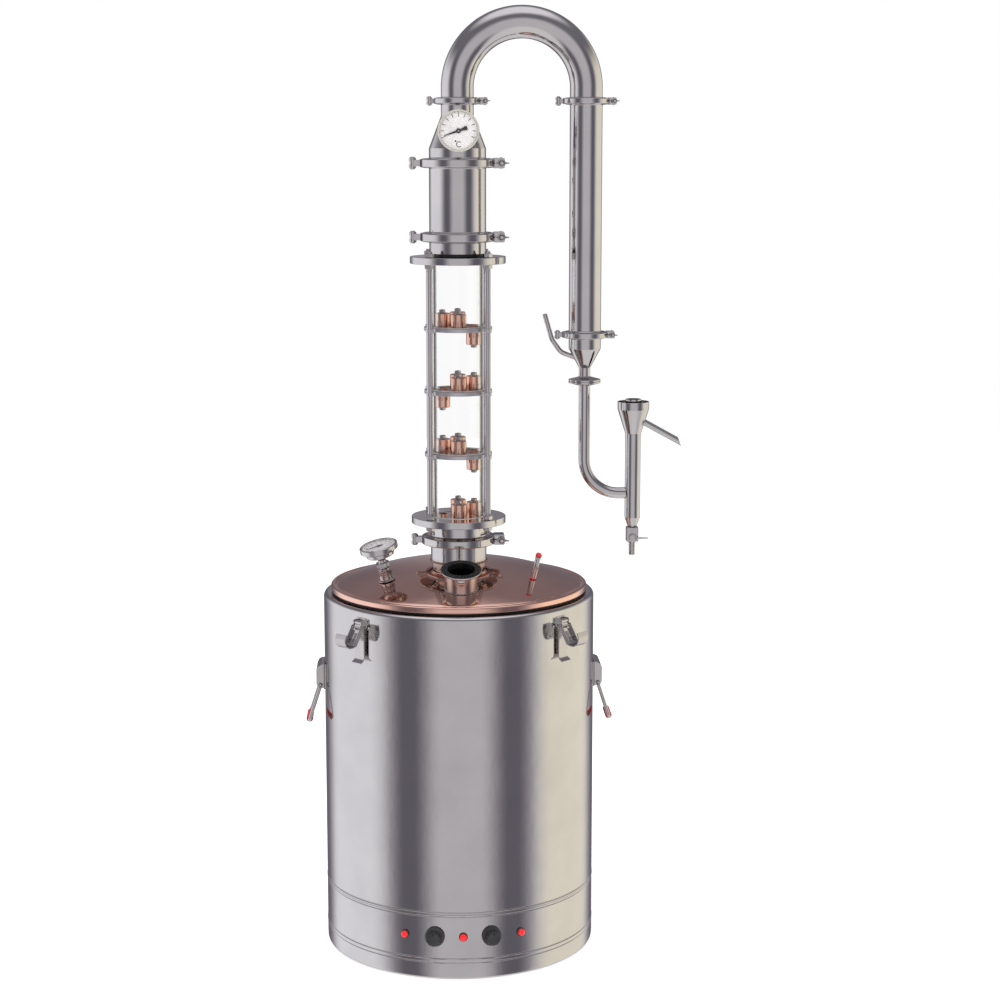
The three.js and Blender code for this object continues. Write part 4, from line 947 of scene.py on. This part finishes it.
def build_column():
    base_low = extent("column_base")[0].z
    under = BASE_FLANGE_TOP - FLANGE_THICK
    tube_bore = LARGE["r"] - LARGE["wall"]
    flange = lathe([
        (0, under + 5), (tube_bore, under + 5), (tube_bore, base_low, 0.4), (LARGE["ferrule"], base_low, 0.5),
        (LARGE["ferrule"], base_low + LARGE["lip"], 0.5), (LARGE["r"], base_low + LARGE["taper"], 2.5),
        (LARGE["r"], under, 0.8), (FLANGE_R, under, 0.9), (FLANGE_R, BASE_FLANGE_TOP, 0.9),
        (0, BASE_FLANGE_TOP),
    ], 192)
    made = piece("column_base_flange", flange, "lid", STEEL, ["column_base"])
    x, y = ring_place(180)
    bore(made, rod(DOWNCOMER_HOLE_R, under - 5, BASE_FLANGE_TOP + 5, 0.01, 40).placed(shift(x, y, 0)))
    build_caps("column_base", (0, 270, 90), BASE_FLANGE_TOP)
    build_downcomer("column_base", x, y, under + 5, BASE_FLANGE_TOP)

    joint = extent("column_top_flange")[1].z
    r, wide = LARGE["r"], LARGE["ferrule"]
    crown = lathe([
        (GLASS_BORE_R, TOP_FLANGE_UNDER, 0.5), (FLANGE_R, TOP_FLANGE_UNDER, 0.9),
        (FLANGE_R, TOP_FLANGE_TOP, 0.9), (r, TOP_FLANGE_TOP, 0.6), (r, joint - LARGE["taper"], 2.5),
        (wide, joint - LARGE["lip"], 0.5), (wide, joint, 0.5), (tube_bore, joint, 0.4),
        (tube_bore, TOP_FLANGE_TOP - 4), (GLASS_BORE_R, TOP_FLANGE_TOP - 4),
    ], 192)
    piece("column_top_flange_body", crown, "lid", STEEL, ["column_top_flange"])
    # A black band round the tube's foot, on top of the flange.
    ring = lathe([(r + 0.05, TOP_FLANGE_TOP + 0.05, 0.3), (r + 1.9, TOP_FLANGE_TOP + 0.05, 0.5),
                  (r + 1.9, TOP_FLANGE_TOP + 4.4, 0.9), (r + 0.05, TOP_FLANGE_TOP + 4.8, 0.3)], 128)
    piece("column_top_flange_black_band", ring, "lid", SEAL)

    for index in range(1, 5):
        low, high = extent(f"glass_section_{index}")
        tube = hollow(GLASS_R, GLASS_BORE_R, low.z + 0.6, high.z - 0.6, 0.5, 128)
        piece(f"glass_section_{index}_tube", tube, "lid", GLASS, [f"glass_section_{index}"])
        seats = hollow(GLASS_R + 1, GLASS_BORE_R - 0.8, low.z + 0.05, low.z + 0.58, 0.1, 96)
        seats = seats + hollow(GLASS_R + 1, GLASS_BORE_R - 0.8, high.z - 0.58, high.z - 0.05, 0.1, 96)
        piece(f"glass_section_{index}_seals", seats, "lid", PALE_SEAL)
    for index in range(1, 4):
        mirrored = index % 2 == 0
        build_plate(f"bubble_plate_{index}", (0, 270, 90) if mirrored else (180, 270, 90),
                    180 if mirrored else 0)
    for corner in ("front_left", "front_right", "back_left", "back_right"):
        x = ROD_OFFSET if "right" in corner else -ROD_OFFSET
        y = ROD_OFFSET if "back" in corner else -ROD_OFFSET
        low, high = extent(f"tie_rod_{corner}")
        smooth_low, smooth_high = BASE_FLANGE_TOP + 10, TOP_FLANGE_UNDER - 10
        parts = [rod(ROD_R, smooth_low, smooth_high, 0.3, 32),
                 threaded(ROD_R, low.z, smooth_low + 0.4), threaded(ROD_R, smooth_high - 0.4, high.z)]
        for z in (BASE_FLANGE_TOP - FLANGE_THICK - 6.3, BASE_FLANGE_TOP + 0.3, TOP_FLANGE_UNDER - 6.3,
                  TOP_FLANGE_TOP + 0.3):
            parts.append(nut(7.5, 6, ROD_R - 0.4).placed(shift(z=z), turn(15, "Z")))
        piece(f"tie_rod_{corner}_bar", joined(parts).placed(shift(x, y)), "lid", DRAWN,
              [f"tie_rod_{corner}"], sharp=30)


# ---------------------------------------------------------------- clamps

CLAMP_LARGE = {
    "profile": [(50, -8, 0.8), (59, -6, 2), (59, 6, 2), (50, 8, 0.8), (54.4, 2.5, 0.3), (54.4, -2.5, 0.3)],
    "outer": 59, "half": 8, "lug": 73, "back": 14, "pin_x": -70, "bolt": 3, "nut": 6.3, "wing": 11.6,
}
CLAMP_SMALL = {
    "profile": [(28.5, -6, 0.6), (37, -4, 1.4), (37, 4, 1.4), (28.5, 6, 0.6), (33.2, 1.6, 0.2),
                (33.2, -1.6, 0.2)],
    "outer": 37, "half": 5.5, "lug": 46.5, "back": 9.5, "pin_x": -43.3, "bolt": 2, "nut": 4.1,
    "wing": 7.4,
}


def clamp_ring(size):
    outer, half, bolt = size["outer"], size["half"], size["bolt"]
    halves = lathe(size["profile"], 128, (3, 177)) + lathe(size["profile"], 128, (183, 357))
    root, end, slot = outer - 3, size["lug"], bolt + 0.5
    throat = end - bolt * 2 - 5
    fork = [(root, -half, 0.5), (end, -half, half * 0.5), (end, -slot, 0.8), (throat, -slot, slot),
            (throat, slot, slot), (end, slot, 0.8), (end, half, half * 0.5), (root, half, 0.5)]
    lugs = []
    for low, high in ((-size["back"], -3), (3, size["back"])):
        lugs.append(prism(fork, low, high).placed(shift(), turn(90, "X"), Matrix.Diagonal((1, 1, -1, 1))))
    hinge = -size["pin_x"]
    width = bolt + 2.2
    barrel = bolt + 2.6
    arm = [(-root, -width - 2, 0.5), (-hinge + 1, -width, 1), (-hinge + 1, width, 1), (-root, width + 2, 0.5)]
    knuckle = lathe([(0, -half), (barrel, -half, 1), (barrel, -half * 0.36, 0.6),
                     (barrel - 0.8, -half * 0.32, 0.2), (barrel - 0.8, half * 0.32, 0.2),
                     (barrel, half * 0.36, 0.6), (barrel, half, 1), (0, half)], 48)
    return halves, joined(lugs) + prism(arm, -half * 0.62, half * 0.62) + knuckle.placed(shift(-hinge))


def swing_bolt(size, at):
    """Eye bolt that points to the front from its pivot, with a wing nut against the front lug."""
    bolt, back = size["bolt"], size["back"]
    nut_low = at.y + back + 1.2
    nut_high = nut_low + size["nut"] + 0.7
    eye = hollow(bolt + 2, bolt * 0.6 + 0.3, -bolt, bolt, 0.6, 40)
    to_front = along((0, 0, 0), (0, -1, 0))
    thread = threaded(bolt, nut_low - 3.4, nut_high + 2.6, 1, 0.3)
    shank = rod(bolt * 0.96, bolt + 1, nut_low - 3, 0.3, 28) + thread
    hub_r = size["nut"]
    hub = lathe([(bolt - 0.3, nut_low), (hub_r, nut_low, 0.5), (hub_r, nut_low + 1.6, 0.5),
                 (hub_r * 0.86, nut_high, 0.8), (hub_r * 0.68, nut_high, 0.4), (hub_r * 0.62, nut_high - 2.2),
                 (bolt - 0.3, nut_high - 2.2)], 48)
    wing = size["wing"]
    lobe = [(hub_r * 0.6, nut_low + 1), (wing * 0.75, nut_low + 2.2, 2), (wing, nut_low + 5, 2),
            (wing, nut_high + 1.8, 1.8), (wing * 0.66, nut_high + 1, 2), (hub_r * 0.6, nut_high - 1)]
    lobes = []
    for way in (1, -1):
        flat = [(x * way, z, *r) for x, z, *r in lobe]
        blade = prism(flat, -bolt * 0.4, bolt * 0.4).placed(turn(90, "X"))
        lobes.append(blade)
    wings = joined(lobes)
    place = shift(*at)
    return eye.placed(place), shank.placed(place, to_front), (hub + wings).placed(place, to_front)


def build_clamp(name, size, body):
    at = pivot(f"clamp_bolt_{name}_swing")
    x = 0 if extent(f"clamp_ring_{name}")[0].x < 0 else CONDENSER_X
    halves, lugs = clamp_ring(size)
    place = shift(x, 0, at.z)
    piece(f"clamp_ring_{name}_halves", halves.placed(place), body, STEEL,
          [f"clamp_ring_{name}"])
    piece(f"clamp_ring_{name}_lugs", lugs.placed(place), body, STEEL, bevel=0.7, steps=3)
    half, bolt = size["half"], size["bolt"]
    hinge_r = bolt + 1.1
    pins = lathe([(0, -half - 2.0), (hinge_r, -half - 1.2, 1.2), (hinge_r, -half + 0.4),
                  (bolt * 0.8, -half + 0.4), (bolt * 0.8, half - 0.4),
                  (hinge_r, half - 0.4), (hinge_r, half + 1.2, 1.2), (0, half + 2.0)], 40)
    lug_pin = rod(bolt * 0.6, -half - 0.8, half + 0.8, 0.5, 24).placed(shift(at.x - x, at.y, 0))
    piece(f"clamp_ring_{name}_pins", (pins.placed(shift(size["pin_x"])) + lug_pin).placed(place), body,
          DRAWN)
    eye, shank, wing_nut = swing_bolt(size, at)
    moving = f"clamp_bolt_{name}"
    piece(f"{moving}_shank", eye + shank, moving, DRAWN, [moving])
    piece(f"{moving}_wing_nut", wing_nut, moving, STEEL, bevel=0.3)


# ---------------------------------------------------------------- head and exchangers

def hose_nipple(radius, reach, z):
    """Barbed hose nipple that points to the back from a tube's wall."""
    r = 5
    outline = [(3.2, radius - 3), (r, radius - 3), (r, radius + 7), (r + 1.6, radius + 7, 0.5),
               (r + 1.6, radius + 9.5, 0.5), (r - 0.4, radius + 10)]
    step = 4.2
    for k in range(int((reach - 11) / step)):
        base = radius + 10.4 + k * step
        outline += [(r - 0.5, base), (r + 0.4, base + 0.5, 0.2), (r - 0.5, base + step - 0.2)]
    outline += [(r - 0.9, radius + reach, 0.5), (3.2, radius + reach, 0.3)]
    return lathe(outline, 40).placed(shift(z=z), along((0, 0, 0), (0, 1, 0)))


def build_exchanger(name, size, body, x, inset, nipple, circle, angles, tube_r):
    low, high = extent(name)
    bottom, top = low.z, high.z
    shell = lathe(ferrule_profile(size, bottom, top, True, True), 128)
    nipples = [hose_nipple(size["r"], nipple, z) for z in (bottom + inset + 18, top - inset - 18)]
    parts = joined([shell] + nipples).placed(shift(x))
    piece(f"{name}_shell", parts, body, STEEL, [name])
    inner = size["r"] - size["wall"] - 0.05
    sheets = [rod(inner, z, z + 3, 0.3, 64) for z in (bottom + inset, top - inset - 3)]
    tubes = []
    for angle in angles:
        place = shift(circle * math.cos(math.radians(angle)), circle * math.sin(math.radians(angle)))
        tube = hollow(tube_r, tube_r - 1.2, bottom + inset - 0.6, top - inset + 0.6, 0.3, 32)
        tubes.append(tube.placed(place))
    piece(f"{name}_tube_bundle", joined(sheets + tubes).placed(shift(x)), body, DRAWN)
    welds = joined(bead(6.2, size["r"] + 0.2, 1.0, 64).placed(shift(x, 0, z), turn(-90, "X"))
                   for z in (bottom + inset + 18, top - inset - 18))
    piece(f"{name}_welds", welds, body, WELD)


def build_head():
    low, high = extent("head_reducer")
    cone_bottom, cone_top = 1270.5, 1320
    big, little = LARGE, SMALL
    reducer = lathe([
        (big["r"] - big["wall"], low.z, 0.4), (big["ferrule"], low.z, 0.5),
        (big["ferrule"], low.z + big["lip"], 0.5),
        (big["r"], low.z + big["taper"], 2.5), (big["r"], cone_bottom, 1.2), (little["r"], cone_top, 2),
        (little["r"], high.z - little["taper"], 2), (little["ferrule"], high.z - little["lip"], 0.4),
        (little["ferrule"], high.z, 0.4), (little["r"] - little["wall"], high.z, 0.4),
        (little["r"] - little["wall"], cone_top, 2), (big["r"] - big["wall"], cone_bottom, 2),
    ], 128)
    boss = lathe([(5.4, 32), (9, 32), (9, 50, 0.8), (5.4, 50, 0.4)], 48)
    boss = boss.placed(shift(z=DIAL_Z), along((0, 0, 0), (0, -1, 0)))
    piece("head_reducer_cone", reducer + boss, "lid", STEEL, ["head_reducer"])
    build_head_dial()


def build_head_dial():
    front = -extent("head_thermometer")[0].y
    place = shift(y=-front, z=DIAL_Z) @ turn(90, "X")
    r = 32
    case = lathe([
        (0, -60), (3.6, -60, 1.5), (4.5, -56), (4.5, -17), (6.4, -17), (6.4, -12.6, 1), (r - 4, -12, 2),
        (r - 0.8, -9.4, 1), (r - 0.8, -3.4, 0.5), (r - 3, -3.4, 0.4), (r - 3, -5), (0, -5),
    ], 144)
    bezel = lathe([(r - 3, -3.3), (r - 0.6, -3.3), (r, -2.8, 0.5), (r, -0.6, 0.9), (r - 1.2, 0, 0.8),
                   (r - 2.7, -0.2, 0.5), (r - 3, -1.4, 0.3)], 144)
    piece("head_thermometer_bezel", bezel.placed(place), "lid", IVORY)
    hexagon = nut(9.5, 6, 4.4).placed(shift(z=-21))
    piece("head_thermometer_case", (case + hexagon).placed(place), "lid", STEEL,
          ["head_thermometer"])
    face = rod(r - 3.05, -4.95, -4.5, 0.1, 96)
    piece("head_thermometer_face", face.placed(place), "lid", ENAMEL)
    marks = dial_marks(28.6, -4.5, 11, 226, 203)[0]
    letter_r, stroke = 3.9, 1.15
    arc = [math.radians(48 + 264 * i / 36) for i in range(37)]
    outer_r, inner_r = letter_r + stroke / 2, letter_r - stroke / 2
    outside = [(outer_r * math.cos(a), outer_r * math.sin(a)) for a in arc]
    inside = [(inner_r * math.cos(a), inner_r * math.sin(a)) for a in arc[::-1]]
    letter = prism(outside + inside, -4.5, -4.35).placed(shift(0.9, -20.4))
    degree = rod(1.35, -4.5, -4.35, 0.05, 32).placed(shift(-4.4, -15.6))
    piece("head_thermometer_scale", (marks + letter + degree).placed(place), "lid", INK)
    piece("head_thermometer_glass", rod(r - 3.05, -1.9, -1.4, 0.1, 96).placed(place), "lid", PANE)
    thick_low = -2.4
    blade = prism([(23.5, -0.4), (23.5, 0.4), (3, 1.6), (-5, 1.5), (-12, 3.3, 0.8), (-14, 2.6, 1),
                   (-14, -2.6, 1), (-12, -3.3, 0.8), (-5, -1.5), (3, -1.6)], thick_low - 0.7, thick_low - 0.1)
    hub = lathe([(1.8, thick_low - 0.8), (3.7, thick_low - 0.8, 0.3), (3.7, thick_low, 0.3),
                 (1.8, thick_low, 0.2)], 40)
    needle = (blade + hub).placed(place, turn(POINTER_REST, "Z"))
    piece("thermometer_pointer_needle", needle, "thermometer_pointer", INK,
          ["thermometer_pointer"])
    pin = rod(1.45, -4.6, -2.2, 0.4, 24)
    piece("head_thermometer_arbor", pin.placed(place), "lid", DRAWN)


# ---------------------------------------------------------------- product side

def end_ferrule(size, joint, way):
    """Ferrule on a pipe's end: the joint faces down for way 1 and up for way -1."""
    inner = size["r"] - size["wall"]
    lip, taper = joint + way * size["lip"], joint + way * size["taper"]
    return lathe([(inner, joint, 0.3), (size["ferrule"], joint, 0.5), (size["ferrule"], lip, 0.5),
                  (size["r"] - 0.1, taper, 2), (inner, taper, 0.3)], 96)


def build_gooseneck():
    foot = extent("gooseneck")[0].z
    crest = extent("gooseneck")[1].z - SMALL["r"]
    corners = [(0, 0, foot + 0.3), (0, 0, crest), (CONDENSER_X, 0, crest), (CONDENSER_X, 0, foot + 0.3)]
    tube = pipe(bent(corners, BEND_R - 0.01, 2.5), SMALL["r"], SMALL["r"] - SMALL["wall"], 96)
    near = end_ferrule(SMALL, foot, 1)
    piece("gooseneck_tube", joined([tube, near, near.placed(shift(CONDENSER_X))]), "gooseneck",
          STEEL, ["gooseneck"])


def build_outlet():
    low = extent("condenser_outlet")[0]
    top = pivot("clamp_bolt_outlet_swing").z - 0.15
    size = SMALL
    drip, union_r, cone_top, cone_bottom = 9, 25.25, 958.6, 928
    inner = size["r"] - size["wall"]
    body = lathe([
        (drip - 1.5, low.z, 0.3), (union_r, low.z, 0.5), (union_r, low.z + 2.8, 0.8), (drip, low.z + 7, 2),
        (drip, cone_bottom, 0.6), (size["r"], cone_top, 1.2), (size["r"], top - size["taper"], 2),
        (size["ferrule"], top - size["lip"], 0.5), (size["ferrule"], top, 0.5), (inner, top, 0.4),
        (inner, cone_top, 2), (drip - 1.5, cone_bottom, 2),
    ], 96)
    vent = pipe(bent([(-13, 0, 943.6), (-38, 0, 953), (-52, 0, 973), (-63.5, 0, 1013)], 20, 5), 3.75, 2.9, 28)
    piece("condenser_outlet_cone", (body + vent).placed(shift(CONDENSER_X)), "gooseneck",
          STEEL, ["condenser_outlet"])


def build_parrot():
    face = UNION_Z - 0.15
    drip, union_r, elbow_z, elbow_r = 9, 25.25, 727, 55
    x = PARROT_X - CONDENSER_X
    tube_r = 12.5
    valve_top = 672
    route = bent([(0, 0, face - 1), (0, 0, elbow_z), (x - tube_r + 1.2, 0, elbow_z)], elbow_r, 4)
    feed = pipe(route, drip, drip - 1.5, 48)
    union = lathe([(drip - 1.5, face, 0.3), (union_r, face, 0.5), (union_r, face - 2.8, 0.8),
                   (drip, face - 7, 2), (drip - 1.5, face - 9, 0.3)], 96)
    body = lathe([
        (0, valve_top), (7, valve_top, 0.4), (tube_r, 688, 1.5), (tube_r, 823, 2), (25, 862, 1.5),
        (25, 874, 0.5),
        (23.6, 874, 0.5), (23.6, 862.6, 1.5), (tube_r, 828), (tube_r, 878, 0.6), (11, 878, 0.6), (11, 690, 1),
        (5, 677), (0, 677),
    ], 96).placed(shift(x))
    start, end = (x + 15.5, 0, 841.8), (x + 84, 0, 803.8)
    spout = pipe([start, end], 5.0, 3.9, 40, mitre=((x + 74.4, 0, 809.2), (0.94, 0, 0.35)))
    solid = joined([feed, union, body, spout]).placed(shift(CONDENSER_X))
    piece("parrot_body", solid, "parrot", STEEL, ["parrot"])

    place = shift(PARROT_X, 0, 0)
    half = 9.5
    square = [(-half, -half, 0.8), (half, -half, 0.8), (half, half, 0.8), (-half, half, 0.8)]
    block = prism(square, 649, valve_top - 0.2)
    front = rod(6.4, 0, 4, 0.6, 40).placed(shift(y=-half, z=VALVE_AXIS_Z), along((0, 0, 0), (0, -1, 0)))
    piece("drain_valve_block", (block + front).placed(place), "parrot", DRAWN,
          ["drain_valve"], bevel=0.6, steps=3)
    low = extent("drain_valve")[0].z
    nipple = lathe([(0, 650), (6.3, 650), (6.3, 646.5, 0.6), (5.3, 645.6), (5.6, 640), (5.1, 639.6),
                    (5.5, 633.5), (5.0, 633.1), (5.3, low + 0.6, 0.6), (4.4, low, 0.3), (3.4, low, 0.3),
                    (3.4, 648), (0, 648)], 48)
    piece("drain_valve_nipple", nipple.placed(place), "parrot", STEEL)
    back = half + 4.3
    hub = lathe([(0, 0), (6, 0, 0.4), (6, 2.6, 0.6), (3, 3.2, 0.4), (0, 3.2)], 40)
    hub = hub.placed(shift(y=-back, z=VALVE_AXIS_Z), along((0, 0, 0), (0, -1, 0)))
    bar = prism([(2, -1.8, 0.4), (25, -0.9, 0.8), (25, 0.9, 0.8), (2, 1.8, 0.4)], 0.2, 2.2)
    bar = bar.placed(shift(y=-back, z=VALVE_AXIS_Z), turn(90, "X"))
    piece("drain_valve_lever_bar", (hub + bar).placed(place), "drain_valve_lever", DRAWN,
          ["drain_valve_lever"], bevel=0.3)


build_boiler()
build_controls()
build_handles()
build_latches()
build_lid()
build_lid_fittings()
build_column()
build_exchanger("dephlegmator", LARGE, "lid", 0, 12, 28, 22, (0, 180, 270), 10)
build_head()
build_gooseneck()
build_exchanger("condenser", SMALL, "gooseneck", CONDENSER_X, 20, 24, 12, (-30, 210), 6)
build_outlet()
build_parrot()
for clamp, clamp_size, clamp_body in (
    ("collar", CLAMP_LARGE, "lid"), ("column", CLAMP_LARGE, "lid"), ("head", CLAMP_LARGE, "lid"),
    ("neck", CLAMP_SMALL, "lid"), ("condenser", CLAMP_SMALL, "gooseneck"),
    ("outlet", CLAMP_SMALL, "gooseneck"),
):
    build_clamp(clamp, clamp_size, clamp_body)


# ---------------------------------------------------------------- floor, light and camera

# A plain studio, the same on both sides: a tall soft box at each side, a dark flag either side of the
# front and one at each side behind, so that bright metal shows its shape. Angles are degrees from the
# front, and colours are screen colours.
STUDIO_WALL = rgb(170, 168, 172)
FLAG = rgb(90, 87, 95)
COOL_BOX = rgb(205, 205, 210)
WARM_BOX = rgb(210, 204, 190)
CEILING = rgb(100, 98, 105)
OVERHEAD_BOX = rgb(205, 203, 208)
STUDIO_FLOOR = rgb(190, 188, 190)
PANEL_EDGE = 25
FRONT_FLAG = (45, 4)
SIDE_BOX = (105, 20)
BACK_FLAG = (165, 6)
MIRROR_GAIN = 1.6


def build_studio():
    world = bpy.data.worlds.new("studio")
    bpy.context.scene.world = world
    world.use_nodes = True
    world.cycles.sampling_method = "NONE"
    n = Nodes(world.node_tree)
    direction = n.add("TexCoord").outputs["Generated"]
    parts = n.add("SeparateXYZ", {0: direction}).outputs
    azimuth = n.math("DEGREES", n.math("ARCTAN2", parts["X"], n.math("MULTIPLY", parts["Y"], -1)))
    elevation = n.math("DEGREES", n.math("ARCSINE", parts["Z"]))
    from_front = n.math("ABSOLUTE", azimuth)

    side_box = n.mix(n.spread(azimuth, -40, 40, smooth=True), COOL_BOX, WARM_BOX)
    shown = STUDIO_WALL
    for (middle, half), colour in ((FRONT_FLAG, FLAG), (SIDE_BOX, side_box), (BACK_FLAG, FLAG)):
        off = n.math("ABSOLUTE", n.math("SUBTRACT", from_front, middle))
        shown = n.mix(n.spread(off, half, half + PANEL_EDGE, 1, 0, smooth=True), shown, colour)
    shown = n.mix(n.spread(elevation, 10, 35, smooth=True), shown, CEILING)
    shown = n.mix(n.spread(elevation, 45, 70, smooth=True), shown, OVERHEAD_BOX)
    shown = n.mix(n.spread(elevation, -45, -28, 1, 0, smooth=True), shown, STUDIO_FLOOR)

    # Only mirrored rays see the panels: everything else is lit by an even white.
    mirrored = n.math("GREATER_THAN", n.add("LightPath").outputs["Glossy Depth"], 0.5)
    plain = n.add("Background", {"Color": (1, 1, 1, 1), "Strength": 1.0}).outputs[0]
    panels = n.add("Background", {"Color": shown, "Strength": MIRROR_GAIN}).outputs[0]
    chosen = n.add("MixShader", {0: mirrored, 1: plain, 2: panels}).outputs[0]
    n.add("OutputWorld", {"Surface": chosen})


def build_floor():
    size = 6.0
    mesh = bpy.data.meshes.new("floor")
    corners = [(-size, -size, 0), (size, -size, 0), (size, size, 0), (-size, size, 0)]
    mesh.from_pydata(corners, [], [(0, 1, 2, 3)])
    floor = bpy.data.objects.new("floor", mesh)
    bpy.context.scene.collection.objects.link(floor)
    floor.location.z = -0.0005
    finish, n = material("pale_floor")
    grain = n.noise(30, detail=4)
    colours = n.mix(n.spread(grain, 0.3, 0.7), (0.93, 0.93, 0.93, 1), (0.91, 0.91, 0.91, 1))
    shader = n.add("BsdfPrincipled", {"Base Color": colours, "Roughness": 0.9, "Specular IOR Level": 0.1,
                                      "Emission Color": (1, 1, 1, 1), "Emission Strength": 0.18})
    n.finish(shader.outputs[0])
    mesh.materials.append(finish)
    floor.visible_glossy = False


def soft_lamp(name, place, aim, size, power):
    data = bpy.data.lights.new(name, "AREA")
    data.shape = "RECTANGLE"
    data.size, data.size_y = size
    data.energy = power
    lamp = bpy.data.objects.new(name, data)
    bpy.context.scene.collection.objects.link(lamp)
    lamp.location = place
    lamp.rotation_euler = (Vector(aim) - Vector(place)).to_track_quat("-Z", "Y").to_euler()
    lamp.visible_glossy = False
    lamp.visible_transmission = False


def build_lights():
    middle = (0.05, 0, 0.7)
    soft_lamp("key_lamp", (-2.2, -2.6, 2.8), middle, (1.8, 1.8), 55)
    soft_lamp("fill_lamp", (2.6, -2.0, 1.8), middle, (2.0, 2.0), 30)
    soft_lamp("top_lamp", (0.2, 0.4, 3.4), middle, (2.4, 2.4), 40)


def build_camera():
    data = bpy.data.cameras.new("camera")
    data.lens = 77.4
    data.clip_end = 50
    camera = bpy.data.objects.new("camera", data)
    bpy.context.scene.collection.objects.link(camera)
    camera.location = (-0.0815, -3.3807, 1.277)
    pitch, heading = 9.4, 2.5
    camera.rotation_euler = (math.radians(90 - pitch), 0, math.radians(-heading))
    bpy.context.scene.camera = camera


build_studio()
build_floor()
build_lights()
build_camera()
bpy.context.scene.view_settings.view_transform = "Standard"
bpy.context.scene.view_settings.look = "None"
